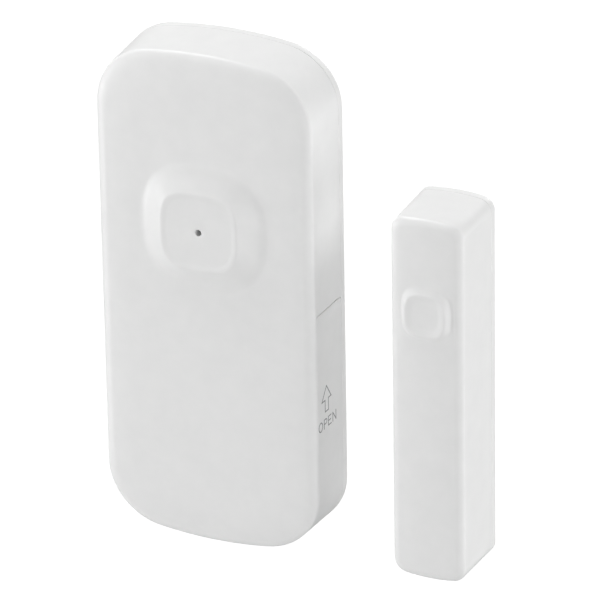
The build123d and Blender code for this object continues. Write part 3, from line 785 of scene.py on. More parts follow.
B = Build()
INK = 0.15
arrow = [(-6.5, -10.98), (-5.12, -13.02), (-5.97, -13.02), (-5.97, -14.78), (-6.97, -14.78), (-6.97, -13.02), (-7.95, -13.02)]
B.loop_ribbon(arrow, INK, on_side, -0.03, 0.012)
T, Bt = -15.86, -17.18
mid = (T + Bt) / 2
oval = [(-8.38 + 0.56 * math.cos(2 * math.pi * k / 28), mid + (T - Bt) / 2 * math.sin(2 * math.pi * k / 28)) for k in range(28)]
B.loop_ribbon(oval, INK, on_side, -0.03, 0.012)
bowl = [(-7.32, T)] + [(-6.86 + 0.36 * math.cos(t), T - 0.34 + 0.34 * math.sin(t)) for t in [math.radians(90 - 15 * k) for k in range(13)]] + [(-7.32, T - 0.68)]
B.stroke([(-7.32, T + INK / 2), (-7.32, Bt - INK / 2)], INK, on_side, -0.03, 0.012)
B.stroke(bowl, INK, on_side, -0.03, 0.0125)
B.stroke([(-6.05, T + INK / 2), (-6.05, Bt - INK / 2)], INK, on_side, -0.03, 0.012)
for y, x1 in ((T, -5.15), (mid + 0.02, -5.25), (Bt, -5.1)):
    B.stroke([(-6.05, y), (x1, y)], INK, on_side, -0.03, 0.0125)
B.stroke([(-4.68, Bt - INK / 2), (-4.68, T + INK / 2)], INK, on_side, -0.03, 0.012)
B.stroke([(-4.68, T), (-3.72, Bt)], INK, on_side, -0.03, 0.0125)
B.stroke([(-3.72, Bt - INK / 2), (-3.72, T + INK / 2)], INK, on_side, -0.03, 0.012)
B.make("slide_marking", MARK, "base", None, weight=False)

# foam adhesive pad in the back pocket: soft edges and a slightly uneven skin
def foam_piece(name, node, a, b, r, t, body, slot, shift=(0, 0, 0), seed=0.0):
    B = Build()
    rings = []
    for w, i in ((0.06, 0.10), (0.0, 0.32), (0.0, 1.3), (0.0, 2.6)):
        rings.insert(0, B.add(up(ring_rect(a - 2 * i, b - 2 * i, max(r - i, 0.4), 10), w)))
    for w, i in ((t * 0.3, 0.04), (t * 0.5, 0.02), (t * 0.7, 0.04), (t - 0.04, 0.1), (t, 0.3)):
        rings.append(B.add(up(ring_rect(a - 2 * i, b - 2 * i, max(r - i, 0.4), 10), w)))
    B.loft(rings)
    B.cap(rings[0])
    B.cap(rings[-1])
    ob = B.make(name, FOAM, body, slot, shift=shift)
    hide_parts(node)
    return ob


foam_piece("foam_pad", "adhesive_pad", 23.0, 50.0, 3.0, 0.6, "base", "foam_tape")

# ---------------------------------------------------------------- magnet unit
def m_draft(w):
    return M_DRAFT * w / MD


def m_rc(w):
    return MR_COR + 0.01 * w


def m_front(u, v, i=99.0):
    e = 0.08 * max(0.0, 1 - (i - 1.1) / 1.8) ** 2 if i < 2.9 else 0.0
    return MD - 0.3 * (abs(u) / 5.4) ** 2.0 - 0.10 * (abs(v) / 26.9) ** 6 - e


svm = [x for x in range(-23, 24)]
OM = Outline(MW, MH, MR_END, MR_COR, svm)
OM.nc = OM.nc
MSH = (MU, MV, 0)
B = Build()
m_edge = MD - 1.0
prof = [(cover_rim, 0.07), (cover_rim + 0.08, 0.0), (2.8, 0.0), (4.6, 0.0), (6.4, 0.0), (8.2, 0.0), (m_edge, 0.0)]
rings = []
for w, i in prof:
    rings.append(B.add([(u, v, w - (LAP - 0.005) * closing(v, 16.0, 20.0) if w < 2.0 else w) for u, v in OM.ring(m_draft(w) + i, m_rc(w) - i)]))
for k in range(1, 9):
    phi = math.pi / 2 * k / 8
    ins = m_draft(m_edge) + 1.15 * (1 - math.cos(phi))
    ring = OM.ring(ins, lerp(m_rc(m_edge), 1.7, 1 - math.cos(phi)))
    rings.append(B.add([(u, v, m_edge + (m_front(u, v, 1.1) - m_edge) * math.sin(phi)) for u, v in ring]))
ra = OM.ring(1.3, 1.6)
PV, PH = MPAD_V - 0.4, 0.52
th_m = [math.atan2(v - PV, u) for u, v in ra]
MF_U, MF_V, MC_U, MC_V, MI_U, MI_V, M_DISH = 3.75, 3.95, 2.8, 2.95, 1.75, 1.95, 0.13
foot = [squircle(MF_U, MF_V, 2.9, t) for t in th_m]
for k in range(0, 7):
    t = k / 7
    rings.append(B.add([(lerp(u0, u1, t), lerp(v0, PV + v1, t), m_front(lerp(u0, u1, t), lerp(v0, PV + v1, t), 1.3 + 2 * t)) for (u0, v0), (u1, v1) in zip(ra, foot)]))
for k in range(0, 13):
    t = k / 12
    rise = 0.5 - 0.5 * math.cos(math.pi * t)
    pts = []
    for th in th_m:
        u, v = squircle(lerp(MF_U, MC_U, t), lerp(MF_V, MC_V, t), 3.0, th)
        f0 = m_front(u, v + PV)
        pts.append((u, v + PV, f0 + (MD + PH - f0) * rise))
    rings.append(B.add(pts))
for k in range(1, 11):
    t = k / 10
    drop = M_DISH * (0.5 - 0.5 * math.cos(math.pi * t))
    rings.append(B.add([(squircle(lerp(MC_U, MI_U, t), lerp(MC_V, MI_V, t), 3.0, th)[0], squircle(lerp(MC_U, MI_U, t), lerp(MC_V, MI_V, t), 3.0, th)[1] + PV, MD + PH - drop) for th in th_m]))
for hu, hv in ((0.9, 1.1), (0.35, 0.4)):
    rings.append(B.add([(squircle(hu, hv, 2.2, th)[0], squircle(hu, hv, 2.2, th)[1] + PV, MD + PH - M_DISH) for th in th_m]))
B.loft(rings)
B.cap(rings[-1])
inner = [B.add([(u, v, w - (LAP - 0.005) * closing(v, 16.0, 20.0) if w < 2.0 else w) for u, v in OM.ring(M_WALL)]) for w in (cover_rim, 4.0, 7.0, MD - 1.4 - 0.3)]
inner.append(B.add(up(OM.ring(M_WALL + 0.1), MD - 1.4 - 0.1)))
inner.append(B.add(up(OM.ring(M_WALL + 0.3), MD - 1.4)))
B.loft(inner)
B.bridge(rings[0], inner[0])
rec = ring_rect(3.6, 3.6, 0.9, 6)
r0, r1 = B.add(up(rec, MD - 1.4, 0, MPAD_V)), B.add(up(rec, MD - 0.35, 0, MPAD_V))
B.loft([r0, r1])
B.cap(r1)
B.cap(inner[-1], r0)
mcover = B.make("magnet_shell", ABS, "magnet_cover", "white_abs", shift=MSH, bevel=0.05)
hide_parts("magnet_cover")

B = Build()
for v in (-16.0, -3.8, 3.8, 16.0):
    for s in (1, -1):
        B.box(s * 3.35, s * 4.15, v - 0.35, v + 0.35, 5.2, MD - 1.38, r=0.1, e=0.0, e_lo=0.1)
B.make("magnet_shell_ribs", ABS_IN, "magnet_cover", "white_abs", shift=MSH)

mplate = plate_piece("magnet_base_plate", OM, m_draft, M_WALL + 0.5, 1.7, (MSCREW_V, -MSCREW_V), 1.7, 2.9, (8.0, 30.0, 1.5, 0.6), "magnet_unit", shift=MSH)
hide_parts("magnet_base")
B = Build()
rim_piece(B, OM, M_WALL + 0.12, M_WALL + 0.82, STRIP - 0.1, 2.6)
B.make("magnet_base_rim", ABS_IN, "magnet_unit", "white_abs", shift=MSH)
B = Build()
for s in (1, -1):
    v0, v1 = sorted((s * 13.1, s * 14.1))
    B.box(-3.0, 3.0, v0, v1, 1.6, 6.0, r=0.3, e=0.25, e_lo=0.0)
    v0, v1 = sorted((s * 14.0, s * 15.1))
    for u in (-1.6, 1.6):
        B.box(u - 0.3, u + 0.3, v0, v1, 1.6, 4.2, r=0.1, e=0.2, e_lo=0.0)
    for v in (-7.0, 7.0):
        swept(B, flip([(2.85, 1.6), (3.55, 1.6), (3.55, 5.9), (3.3, 6.4), (2.95, 6.4), (2.78, 6.15), (2.85, 5.8)], s), v - 2, v + 2)
B.make("magnet_cradle", ABS_IN, "magnet_unit", "white_abs", shift=MSH)
foam_piece("magnet_foam_pad", "magnet_adhesive_pad", 8.0, 30.0, 1.5, 0.6, "magnet_unit", "foam_tape", shift=MSH)

# ---------------------------------------------------------------- inside
NODE_MATS = {
    "adhesive_pad": FOAM, "magnet_adhesive_pad": FOAM, "circuit_board": BOARD, "board_screws": ZINC, "cell_holder": RESIN,
    "coin_cell": CELL, "negative_contact": SPRING, "positive_clip": SPRING, "reed_glass": GLASS, "reed_blades": BLADE,
    "button_switch": RESIN, "learn_button": BUTTON, "tamper_switch": RESIN, "tamper_plunger": PLUNGER, "controller_chip": CHIP,
    "radio_chip": CHIP, "crystal": CAN, "indicator_led": LED, "tantalum_capacitor": TANT, "chip_capacitors": CERAMIC,
    "chip_resistors": RESIST, "wire_antenna": TINNED, "bar_magnet": NICKEL, "rear_base": ABS, "front_cover": ABS,
    "magnet_base": ABS, "magnet_cover": ABS,
}
for name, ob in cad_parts.items():
    ob.data.materials.clear()
    ob.data.materials.append(NODE_MATS[name])

CELL_U, CELL_V, CELL_R, CELL_W, CELL_T = -1.6, -11.5, 10.0, 4.3, 3.2
CT = CELL_W + CELL_T
REED_U, REED_V, REED_W, REED_R, REED_L = 11.2, -8.3, 5.0, 1.1, 12.0
CAPS = [(-7.4, 16.4, 0), (-0.2, 24.4, 0), (1.0, 17.2, 90), (7.8, 16.8, 0), (8.2, 23.9, 0), (-4.0, 3.6, 90), (-1.6, 3.6, 90), (10.6, 11.6, 90)]
RES = [(-7.4, 23.6, 90), (-3.4, 24.6, 0), (1.2, 20.4, 90), (8.6, 8.0, 0), (1.6, 3.4, 0), (1.6, 5.4, 0), (-6.6, 3.6, 90), (4.6, 24.6, 0)]
CHIP_U, CHIP_V, RF_U, RF_V = -3.6, 20.2, 4.4, 19.8


def turned(u, v, a, du, dv):
    t = math.radians(a)
    return u + du * math.cos(t) - dv * math.sin(t), v + du * math.sin(t) + dv * math.cos(t)


# chip capacitors: ceramic bodies and dipped ends with solder fillets
Bc, Be, Bs = Build(), Build(), Build()
for u, v, a in CAPS:
    Bc.prism(u, v, 1.02, 0.74, 0.06, TOP + 0.03, TOP + 0.76, e=0.05, n=3, turn=a)
    for s in (-1, 1):
        x, y = turned(u, v, a, s * 0.62, 0)
        Be.prism(x, y, 0.36, 0.8, 0.09, TOP + 0.01, TOP + 0.8, e=0.08, n=4, turn=a)
        x, y = turned(u, v, a, s * 0.92, 0)
        Bs.prism(x, y, 0.46, 0.9, 0.12, TOP - 0.02, TOP + 0.26, e=0.22, e_lo=0.0, n=4, turn=a)
caps = Bc.make("capacitor_bodies", CERAMIC, "base", "chip_ceramic")
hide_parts("chip_capacitors")
Be.make("capacitor_ends", TINNED, "base", "tinned_wire")
Br, Bt_, Bd = Build(), Build(), Build()
for u, v, a in RES:
    Br.prism(u, v, 1.5, 0.78, 0.04, TOP + 0.02, TOP + 0.36, e=0.03, n=3, turn=a)
    Bd.prism(u, v, 0.94, 0.66, 0.05, TOP + 0.3, TOP + 0.42, e=0.04, n=3, turn=a)
    for s in (-1, 1):
        x, y = turned(u, v, a, s * 0.66, 0)
        Bt_.prism(x, y, 0.28, 0.8, 0.05, TOP + 0.01, TOP + 0.45, e=0.05, n=3, turn=a)
        x, y = turned(u, v, a, s * 0.90, 0)
        Bs.prism(x, y, 0.42, 0.88, 0.12, TOP - 0.02, TOP + 0.2, e=0.17, e_lo=0.0, n=4, turn=a)
resb = Br.make("resistor_bodies", ALUMINA, "base", "chip_resistor")
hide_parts("chip_resistors")
Bd.make("resistor_glaze", RESIST, "base", "chip_resistor")
Bt_.make("resistor_ends", TINNED, "base", "tinned_wire")

# solder at every lead: fillets that climb the wires and tabs
def solder(B, u, v, r, top=0.55):
    B.lathe(u, v, [(r + 0.62, TOP - 0.02), (r + 0.60, TOP + 0.03), (r + 0.42, TOP + 0.12), (r + 0.22, TOP + 0.24), (r + 0.08, TOP + 0.42), (r + 0.02, TOP + top)], n=24)


for v in (REED_V - REED_L / 2 - 2.6, REED_V + REED_L / 2 + 2.6):
    solder(Bs, REED_U, v, 0.25)
    Bs.lathe(REED_U, v, [(0.12, PCB_W - 0.62), (0.3, PCB_W - 0.5), (0.62, PCB_W - 0.1), (0.66, PCB_W + 0.02)], n=24)
for u, v in ((10.8, 26.0), (-11.5, 1.0)):
    solder(Bs, u, v, 0.35)
for v in (-23.35, 0.1):
    Bs.prism(-1.6, v + 0.125, 1.7, 1.0, 0.3, TOP - 0.02, TOP + 0.34, e=0.26, e_lo=0.0)
    Bs.prism(-1.6, v + 0.125, 1.5, 0.8, 0.25, PCB_W - 0.4, PCB_W + 0.02, e=0.0, e_lo=0.26)
Bs.prism(CELL_U, CELL_V, 7.4, 2.3, 0.4, TOP - 0.02, TOP + 0.1, e=0.06, e_lo=0.0)
for su in (-1, 1):
    for sv_ in (-1, 1):
        Bs.prism(su * 3.45, PAD_V + sv_ * 2.2, 1.2, 1.0, 0.25, TOP - 0.02, TOP + 0.3, e=0.22, e_lo=0.0)
        Bs.prism(-8.3 + su * 2.5, 10.0 + sv_ * 1.3, 0.8, 0.7, 0.2, TOP - 0.02, TOP + 0.26, e=0.2, e_lo=0.0)
Bs.prism(6.6 - 1.85, 4.4, 0.7, 2.2, 0.2, TOP - 0.02, TOP + 0.3, e=0.24, e_lo=0.0)
Bs.prism(6.6 + 1.85, 4.4, 0.7, 2.2, 0.2, TOP - 0.02, TOP + 0.3, e=0.24, e_lo=0.0)
for s in (-1, 1):
    Bs.prism(4.9 + s * 0.95, PAD_V, 0.5, 0.9, 0.15, TOP - 0.02, TOP + 0.2, e=0.16, e_lo=0.0)
    for t_ in (-1, 1):
        Bs.prism(9.2 + s * 1.35, 20.6 + t_ * 1.0, 1.0, 0.8, 0.15, TOP - 0.02, TOP + 0.12, e=0.08, e_lo=0.0)
Bs.make("solder_joints", TINNED, "base", "tinned_wire")

# pads of the two flat chips, showing as a row of lands along each side
B = Build()
for (cu, cv, half, pitch, count) in ((CHIP_U, CHIP_V, 2.5, 0.5, 8), (RF_U, RF_V, 2.0, 0.5, 6)):
    for k in range(count):
        d = (k - (count - 1) / 2) * pitch
        for s in (-1, 1):
            B.prism(cu + s * (half + 0.12), cv + d, 0.5, 0.26, 0.08, TOP - 0.02, TOP + 0.09, e=0.05, e_lo=0.0, n=3)
            B.prism(cu + d, cv + s * (half + 0.12), 0.26, 0.5, 0.08, TOP - 0.02, TOP + 0.09, e=0.05, e_lo=0.0, n=3)
            B.prism(cu + s * (half - 0.02), cv + d, 0.1, 0.24, 0.03, TOP, TOP + 0.22, e=0.02, e_lo=0.0, n=2)
            B.prism(cu + d, cv + s * (half - 0.02), 0.24, 0.1, 0.03, TOP, TOP + 0.22, e=0.02, e_lo=0.0, n=2)
B.make("chip_lands", TINNED, "base", "tinned_wire")

# copper runs under the mask, test pads and stitched vias
B = Build()
runs = [
    [(-6.25, 21.45), (-8.6, 21.45), (-10.9, 19.2), (-10.9, 3.4)], [(-6.25, 20.95), (-8.3, 20.95), (-10.3, 18.9), (-10.3, 12.6), (-9.6, 12.0)],
    [(-6.25, 20.45), (-8.0, 20.45), (-9.7, 18.7), (-9.7, 13.2)], [(-6.25, 18.95), (-7.0, 18.95), (-8.2, 17.6), (-8.2, 16.4)],
    [(-5.35, 17.55), (-5.35, 14.2), (-3.5, 13.0)], [(-4.85, 17.55), (-4.85, 14.9), (-3.3, 13.9)], [(-3.85, 17.55), (-3.85, 15.9), (-1.2, 15.9), (0.2, 16.6)],
    [(-1.05, 21.95), (0.4, 21.95), (1.2, 21.2)], [(-1.05, 20.45), (1.8, 20.45)], [(-1.05, 19.95), (2.1, 19.95)], [(-1.05, 19.45), (0.2, 19.45), (0.9, 18.8), (2.1, 18.8)],
    [(6.6, 20.6), (7.6, 20.6)], [(6.6, 19.3), (8.3, 19.3), (8.6, 19.6)], [(5.4, 22.0), (5.4, 23.0), (8.9, 26.0), (10.8, 26.0)], [(4.4, 17.6), (4.4, 14.5), (4.1, 12.2)],
    [(3.9, 17.6), (3.9, 14.9), (3.4, 13.9), (3.45, 13.5)], [(6.6, 6.4), (6.6, 7.4), (7.8, 8.0)], [(9.4, 8.0), (10.6, 9.3), (10.6, 10.7)], [(10.6, 12.5), (10.6, 17.6), (9.8, 19.0)],
    [(0.8, 3.4), (-0.2, 2.6), (-1.6, 2.6)], [(2.4, 3.4), (4.5, 3.4)], [(2.4, 5.4), (4.5, 5.4)], [(-4.0, 4.6), (-4.0, 6.6), (-3.5, 8.7)], [(-6.6, 4.6), (-6.6, 7.4), (-7.2, 8.2)],
    [(11.2, 0.4), (11.2, 2.4), (10.0, 3.6), (8.8, 3.9)], [(11.2, -16.9), (11.2, -20.2), (8.2, -23.0)], [(-11.5, 1.0), (-11.5, -2.0)], [(-12.1, -3.0), (-12.1, -22.0), (-10.2, -24.2)],
    [(12.2, -2.0), (12.2, -18.0)], [(-2.85, 22.85), (-2.85, 24.2), (-3.0, 24.6)], [(-1.9, 24.4), (-1.0, 24.4)], [(0.7, 24.4), (3.8, 24.5)],
]
for run in runs:
    B.ribbon(run, 0.2, TOP - 0.03, TOP + 0.022)
    for x, y in (run[0], run[-1]):
        B.lathe(x, y, [(0.26, TOP - 0.03), (0.26, TOP + 0.018), (0.24, TOP + 0.024)], n=16)
for x in (-1, 1):
    B.ribbon([(x * 12.45, -25.6), (x * 12.45, 3.3)], 0.3, TOP - 0.03, TOP + 0.022)
B.make("board_tracks", TRACE, "base", "board_laminate")
B = Build()
for k in range(6):
    B.lathe(-9.6 + 2.0 * k, -24.9 if k < 4 else -24.9, [(0.55, TOP - 0.02), (0.55, TOP + 0.03), (0.5, TOP + 0.045)], n=28) if k > 0 else None
for u, v in ((-7.6, 14.0), (-5.6, 6.0), (3.6, 8.0), (9.0, 13.6), (9.0, 11.4), (11.4, 22.6), (11.4, 4.8), (-11.9, 24.0)):
    B.lathe(u, v, [(0.5, TOP - 0.02), (0.5, TOP + 0.03), (0.45, TOP + 0.045)], n=28)
for u, v in ((-9.5, 24.8), (8.5, -25.0)):
    B.tube_solid(u, v, [(1.0, TOP - 0.02), (1.75, TOP - 0.02), (1.75, TOP + 0.03), (1.7, TOP + 0.04), (1.05, TOP + 0.04), (1.0, TOP + 0.03)], n=40)
    B.tube_solid(u, v, [(1.0, PCB_W + 0.02), (1.75, PCB_W + 0.02), (1.75, PCB_W - 0.02), (1.0, PCB_W - 0.02)], n=40)
vias = [(-11.0, 7.0), (-9.0, 5.6), (-5.3, 9.9), (-2.4, 6.9), (2.9, 6.9), (5.9, 9.3), (7.2, 12.6), (6.8, 14.9), (-1.6, 17.3), (-9.0, 15.1), (-11.6, 15.7), (10.2, 15.5), (11.9, 8.6), (2.2, 23.0), (6.4, 23.5), (-5.6, 25.8), (0.9, 26.1), (-10.6, -1.2), (7.4, -1.3), (9.9, -1.8), (-12.0, -25.0), (11.6, -24.0)]
for u, v in vias:
    B.tube_solid(u, v, [(0.16, TOP - 0.02), (0.32, TOP - 0.02), (0.32, TOP + 0.03), (0.18, TOP + 0.03), (0.16, TOP + 0.01)], n=20)
B.make("gold_pads", GOLD, "base", None)

# silkscreen: part outlines and reference strokes
SK0, SK1 = TOP - 0.02, TOP + 0.03


def frame_line(B, u, v, a, b, width=0.12, r=0.2):
    ring = ring_rect(a, b, r, 3)
    B.loop_ribbon([(u + x, v + y) for x, y in ring], width, lambda x, y, h: (x, y, h), SK0, SK1)


DIGITS = {"0": [[(0, 0), (0, 2), (1, 2), (1, 0), (0, 0)]], "1": [[(0.1, 1.6), (0.5, 2), (0.5, 0)]], "2": [[(0, 1.7), (0.3, 2), (0.8, 2), (1, 1.6), (0, 0), (1, 0)]], "3": [[(0, 2), (1, 2), (0.45, 1.15), (1, 0.8), (1, 0.2), (0.6, 0), (0, 0.1)]],
          "4": [[(0.8, 0), (0.8, 2), (0, 0.6), (1.05, 0.6)]], "5": [[(1, 2), (0, 2), (0, 1.1), (0.7, 1.2), (1, 0.8), (0.8, 0.1), (0, 0)]], "C": [[(1, 1.8), (0.6, 2), (0, 1.6), (0, 0.4), (0.6, 0), (1, 0.2)]],
          "R": [[(0, 0), (0, 2), (0.8, 2), (1, 1.5), (0.7, 1), (0, 1)], [(0.5, 1), (1, 0)]], "U": [[(0, 2), (0, 0.3), (0.4, 0), (0.7, 0), (1, 0.3), (1, 2)]], "K": [[(0, 0), (0, 2)], [(1, 2), (0, 0.9)], [(0.3, 1.15), (1, 0)]], "L": [[(0, 2), (0, 0), (1, 0)]],
          "+": [[(0.5, 0.4), (0.5, 1.6)], [(-0.1, 1.0), (1.1, 1.0)]]}


def label(B, text, u, v, size=0.42, width=0.09, w0=SK0, w1=SK1, turn=0.0):
    t = math.radians(turn)
    x0 = 0.0
    for ch in text:
        for st in DIGITS.get(ch, []):
            pts = [((x0 + p[0] * 0.9) * size, p[1] * size) for p in st]
            pts = [(u + x * math.cos(t) - y * math.sin(t), v + x * math.sin(t) + y * math.cos(t)) for x, y in pts]
            if len(pts) > 3 and pts[0] == pts[-1]:
                B.loop_ribbon(pts[:-1], width, lambda x, y, h: (x, y, h), w0, w1)
            else:
                B.ribbon(pts, width, w0, w1)
        x0 += 1.45


B = Build()
for u, v, a in CAPS + RES:
    for s in (-1, 1):
        pts = [turned(u, v, a, x, s * 0.62) for x in (-0.9, 0.9)]
        B.ribbon(pts, 0.1, SK0, SK1)
frame_line(B, CELL_U, CELL_V, 23.0, 23.2, 0.14, 3.4)
frame_line(B, 0, PAD_V, 7.0, 6.9, 0.12, 0.4)
frame_line(B, -8.3, 10.0, 5.3, 5.4, 0.12, 0.3)
frame_line(B, 9.2, 20.6, 4.0, 3.2, 0.12, 0.3)
frame_line(B, 6.6, 4.4, 5.1, 3.5, 0.12, 0.3)
B.ribbon([(3.85, 2.8), (3.85, 6.0)], 0.14, SK0, SK1)
B.loop_ribbon([(-6.9 + 0.18 * math.cos(t), 23.15 + 0.18 * math.sin(t)) for t in [math.radians(30 * k) for k in range(12)]], 0.14, lambda x, y, h: (x, y, h), SK0, SK1)
for text, u, v in (("U1", -3.9, 14.9), ("U2", 5.5, 15.6), ("C1", -9.1, 17.6), ("C2", 1.5, 25.4), ("R1", -6.6, 25.3), ("K1", 4.0, 13.2), ("R4", 9.9, 6.3), ("L1", 6.1, 12.3), ("C5", -5.6, 5.1), ("R3", -1.0, 22.9)):
    label(B, text, u, v)
for u, v in ((9.6, -3.0), (9.6, -15.0)):
    B.ribbon([(9.75, v - 1.0), (9.75, v + 1.0)], 0.12, SK0, SK1)
label(B, "+", 10.3, -21.6, 0.8, 0.16)
B.make("board_silkscreen", SILK, "base", None)

# coin cell face: pressed "+" and a fine turned ring
B = Build()
B.tube_solid(CELL_U, CELL_V, [(8.1, CT - 0.02), (8.32, CT - 0.02), (8.30, CT + 0.03), (8.12, CT + 0.03)], n=96)
for a in ([(-7.2, 0.0), (-5.2, 0.0)], [(-6.2, -1.0), (-6.2, 1.0)]):
    B.ribbon([(CELL_U + x, CELL_V + y) for x, y in a], 0.34, CT - 0.02, CT + 0.035)
B.make("cell_face_marks", CELL, "base", "cell_steel")
B = Build()
B.tube_solid(CELL_U, CELL_V, [(9.05, CELL_W + 0.16), (9.55, CELL_W + 0.08), (9.75, CELL_W + 0.22), (9.7, CELL_W + 0.36), (9.05, CELL_W + 0.36)], n=96)
B.make("cell_gasket", RESIN, "base", "black_resin")
# polarity marks moulded on the holder's rim
B = Build()
for a, b in (([(6.9, 9.4), (8.3, 9.4)], 0), ([(7.6, 8.7), (7.6, 10.1)], 0), ([(6.9, -9.4), (8.3, -9.4)], 0)):
    B.ribbon([(CELL_U + x, CELL_V + y) for x, y in a], 0.28, 6.55, 6.66)
B.make("holder_polarity", RESIN, "base", "black_resin")

# tactile switches: pressed metal lids with rivets, and gull legs
B = Build()
for cu, cv, half, top_w, r_in in ((0.0, PAD_V, 2.9, TOP + 3.4, 1.78), (-8.3, 10.0, 2.2, TOP + 2.6, 1.25)):
    th = [2 * math.pi * k_ / 64 for k_ in range(64)]
    ring_o = [squircle(half, half, 12, t) for t in th]
    lv = []
    for w, o, i in ((top_w - 0.02, 0, 0), (top_w + 0.12, 0, 0), (top_w + 0.16, 0.06, 0)):
        lv.append(B.add([(cu + x * (half - o) / half, cv + y * (half - o) / half, w) for x, y in ring_o]))
    inner_hi = B.add([(cu + r_in * math.cos(t), cv + r_in * math.sin(t), top_w + 0.16) for t in th])
    inner_lo = B.add([(cu + r_in * math.cos(t), cv + r_in * math.sin(t), top_w - 0.02) for t in th])
    B.loft(lv + [inner_hi, inner_lo, lv[0]])
    k = half - 0.62
    for sx in (-1, 1):
        for sy in (-1, 1):
            B.lathe(cu + sx * k, cv + sy * k, [(0.34, top_w + 0.1), (0.34, top_w + 0.2), (0.26, top_w + 0.27), (0.08, top_w + 0.29)], n=20)
for su in (-1, 1):
    for sv_ in (-1, 1):
        B.box(su * 2.9, su * 3.9, PAD_V + sv_ * 2.2 - 0.3, PAD_V + sv_ * 2.2 + 0.3, TOP + 0.02, TOP + 0.26, r=0.08, e=0.06)
        B.box(su * 2.95, su * 3.15, PAD_V + sv_ * 2.2 - 0.3, PAD_V + sv_ * 2.2 + 0.3, TOP + 0.1, TOP + 1.2, r=0.05, e=0.06)
B.make("switch_lids", CAN, "base", "can_metal")

# tantalum capacitor: band, printed code and wrapped terminals
B = Build()
B.box(5.05, 5.75, 3.05, 5.75, TOP + 1.86, TOP + 1.93, r=0.05, e=0.02)
B.make("tantalum_band", BAND, "base", None)
B = Build()
label(B, "10", 6.4, 3.9, 0.5, 0.12, TOP + 1.86, TOP + 1.925)
B.make("tantalum_code", BAND, "base", None)
B = Build()
for s in (-1, 1):
    B.box(6.6 + s * 1.70, 6.6 + s * 1.88, 3.35, 5.45, TOP + 0.02, TOP + 1.0, r=0.04, e=0.05)
B.make("tantalum_ends", TINNED, "base", "tinned_wire")
# chip and crystal printing
B = Build()
label(B, "1024", CHIP_U - 1.5, CHIP_V + 0.2, 0.42, 0.09, TOP + 0.84, TOP + 0.865)
label(B, "310", CHIP_U - 1.5, CHIP_V - 1.3, 0.42, 0.09, TOP + 0.84, TOP + 0.865)
label(B, "433", RF_U - 1.0, RF_V - 0.4, 0.42, 0.09, TOP + 0.79, TOP + 0.815)
label(B, "13", 8.7, 20.2, 0.4, 0.08, TOP + 0.74, TOP + 0.765)
B.make("component_printing", PRINT, "base", None)
B = Build()
for s in (-1, 1):
    B.box(4.9 + s * 0.62, 4.9 + s * 0.86, PAD_V - 0.38, PAD_V + 0.38, TOP + 0.01, TOP + 0.37, r=0.04, e=0.04)
B.make("led_terminals", GOLD, "base", None)
# wire insulation sleeve at the antenna's supported run
B = Build()
B.wire([(-11.5, 20.5, 5.6), (-11.5, 18.0, 5.6), (-11.5, 14.0, 5.6), (-11.5, 9.0, 5.6), (-11.5, 5.0, 5.6)], 0.5, n=20)
B.make("antenna_sleeve", RESIN, "base", "black_resin")

# ---------------------------------------------------------------- camera
AZ, EL, ROLL = math.radians(25.11), math.radians(25.54), math.radians(-1.01)
back = Vector((math.sin(AZ) * math.cos(EL), -math.cos(AZ) * math.cos(EL), math.sin(EL)))
right = Vector((math.cos(AZ), math.sin(AZ), 0))
upv = back.cross(right)
r2 = right * math.cos(ROLL) + upv * math.sin(ROLL)
u2 = -right * math.sin(ROLL) + upv * math.cos(ROLL)
loc = Vector((0.32146556, -0.66106040 - 0.0053, 0.34933695))
cam_data = bpy.data.cameras.new("camera")
cam = bpy.data.objects.new("camera", cam_data)
scene.collection.objects.link(cam)
cam.matrix_world = Matrix(((r2.x, u2.x, back.x, loc.x), (r2.y, u2.y, back.y, loc.y), (r2.z, u2.z, back.z, loc.z), (0, 0, 0, 1)))
cam_data.sensor_width = 36.0
cam_data.lens = 36.0 * 6011.37 / 600.0
cam_data.clip_start, cam_data.clip_end = 0.05, 20.0
scene.camera = cam

# ---------------------------------------------------------------- light and floor
scene.view_settings.view_transform = "Standard"
world = bpy.data.worlds.new("studio")
scene.world = world
world.use_nodes = True
bg = world.node_tree.nodes["Background"]
bg.inputs[0].default_value = (1, 1, 1, 1)
bg.inputs[1].default_value = 0.0996


def area(name, loc_, target, size, power, size_y=None):
    l = bpy.data.lights.new(name, "AREA")
    l.energy = power
    l.size = size
    if size_y:
        l.shape = "RECTANGLE"
        l.size_y = size_y
    o = bpy.data.objects.new(name, l)
    scene.collection.objects.link(o)
    o.location = loc_
    o.visible_camera = False
    o.rotation_mode = "QUATERNION"
    o.rotation_quaternion = (Vector(target) - Vector(loc_)).to_track_quat("-Z", "Y")
    return o


# LIGHTS BEGIN: softboxes all round, each an azimuth and elevation (degrees), size (m) and power (W)
SOFTBOXES = [
    (-90, 62, 0.36, 4.700),
    (-180, 12, 0.36, 3.005),
    (-60, -12, 0.36, 2.844),
    (90, 36, 0.36, 2.445),
    (120, -12, 0.36, 2.006),
    (30, -12, 0.36, 1.830),
    (-30, -12, 0.36, 1.071),
    (60, -12, 0.36, 1.051),
    (60, -40, 0.36, 0.995),
    (-90, 36, 0.36, 0.880),
    (-90, -40, 0.36, 0.585),
    (90, 62, 0.36, 0.555),
    (90, -12, 0.36, 0.494),
    (0, 12, 0.36, 0.398),
    (-60, -40, 0.36, 0.336),
    (-60, 36, 0.36, 0.230),
    (-150, 12, 0.36, 0.229),
    (120, -40, 0.36, 0.182),
    (-150, 36, 0.36, 0.130),
    (30, -40, 0.36, 0.052),
]
AIM = Vector((0.011, 0, 0))
for k, (a_, e_, size_, power_) in enumerate(SOFTBOXES):
    a_, e_ = math.radians(a_), math.radians(e_)
    direction = Vector((math.sin(a_) * math.cos(e_), -math.cos(a_) * math.cos(e_), math.sin(e_)))
    area(f"softbox_{k}", tuple(AIM + direction * 0.85), tuple(AIM), size_, power_)
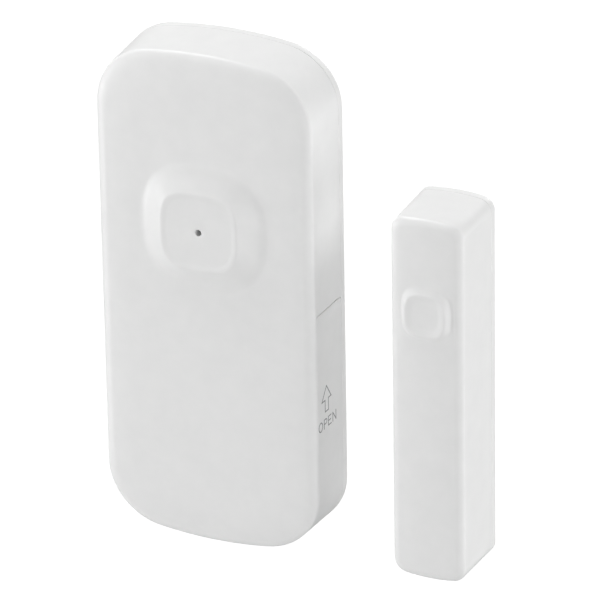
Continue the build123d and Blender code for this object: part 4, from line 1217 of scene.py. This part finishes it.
# small reflector cards close to the object: place (m), size (m), power (W)
CARDS = [
    ((-0.12, -0.12, 0.1), 0.1, 0.0145),
]
for k, (place_, size_, power_) in enumerate(CARDS):
    area(f"card_{k}", place_, tuple(AIM), size_, power_)

# pale surround: a floor well below the object that curves up into walls and a ceiling all round.
# Its whiteness is a glow from its own emission over a near-black base; it is only seen, and the softboxes and cards do
# all the lighting.
fm, fnt, fbs = new_mat("glowing_sweep")
fvec = coords(fnt)
fnt.links.new(ramp(fnt, noise_tex(fnt, fvec, 3.0, 2.0), [(0.3, (0.02, 0.02, 0.02)), (0.7, (0.03, 0.03, 0.03))]), fbs.inputs["Base Color"])
fbs.inputs["Roughness"].default_value = 0.9
fbs.inputs["Specular IOR Level"].default_value = 0.0
fbs.inputs["Emission Color"].default_value = (1, 1, 1, 1)
# painted glow: the emission is brightest behind and below the object on its left, a little darker elsewhere
fdot = fnt.nodes.new("ShaderNodeVectorMath")
fdot.operation = "DOT_PRODUCT"
fdot.inputs[1].default_value = (-0.383, 0.817, -0.431)
fnrm = fnt.nodes.new("ShaderNodeVectorMath")
fnrm.operation = "NORMALIZE"
fnt.links.new(fvec, fnrm.inputs[0])
fnt.links.new(fnrm.outputs["Vector"], fdot.inputs[0])
fnt.links.new(rng(fnt, fdot.outputs["Value"], 0.80, 1.08, 0.35, 0.88), fbs.inputs["Emission Strength"])
fb = bmesh.new()
R_S, Z_LO, Z_HI, FIL = 3.2, -1.9, 2.6, 1.3
prof = [(0.8, Z_LO), (R_S - FIL, Z_LO)] + [(R_S - FIL + FIL * math.sin(math.radians(10 * k)), Z_LO + FIL * (1 - math.cos(math.radians(10 * k)))) for k in range(1, 10)]
prof += [(R_S - FIL + FIL * math.cos(math.radians(10 * k)), Z_HI - FIL + FIL * math.sin(math.radians(10 * k))) for k in range(0, 10)] + [(0.8, Z_HI)]
cols = [[fb.verts.new((r_ * math.cos(math.radians(6 * j)), r_ * math.sin(math.radians(6 * j)), z)) for r_, z in prof] for j in range(60)]
for j in range(60):
    ca, cb = cols[j], cols[(j + 1) % 60]
    for k in range(len(prof) - 1):
        fb.faces.new((ca[k], ca[k + 1], cb[k + 1], cb[k]))
fb.faces.new([c_[0] for c_ in cols])
fb.faces.new([c_[-1] for c_ in reversed(cols)])
me = bpy.data.meshes.new("sweep")
fb.to_mesh(me)
fb.free()
me.polygons.foreach_set("use_smooth", [True] * len(me.polygons))
floor = bpy.data.objects.new("sweep", me)
me.materials.append(fm)
scene.collection.objects.link(floor)
floor.visible_diffuse = floor.visible_glossy = floor.visible_transmission = floor.visible_shadow = False
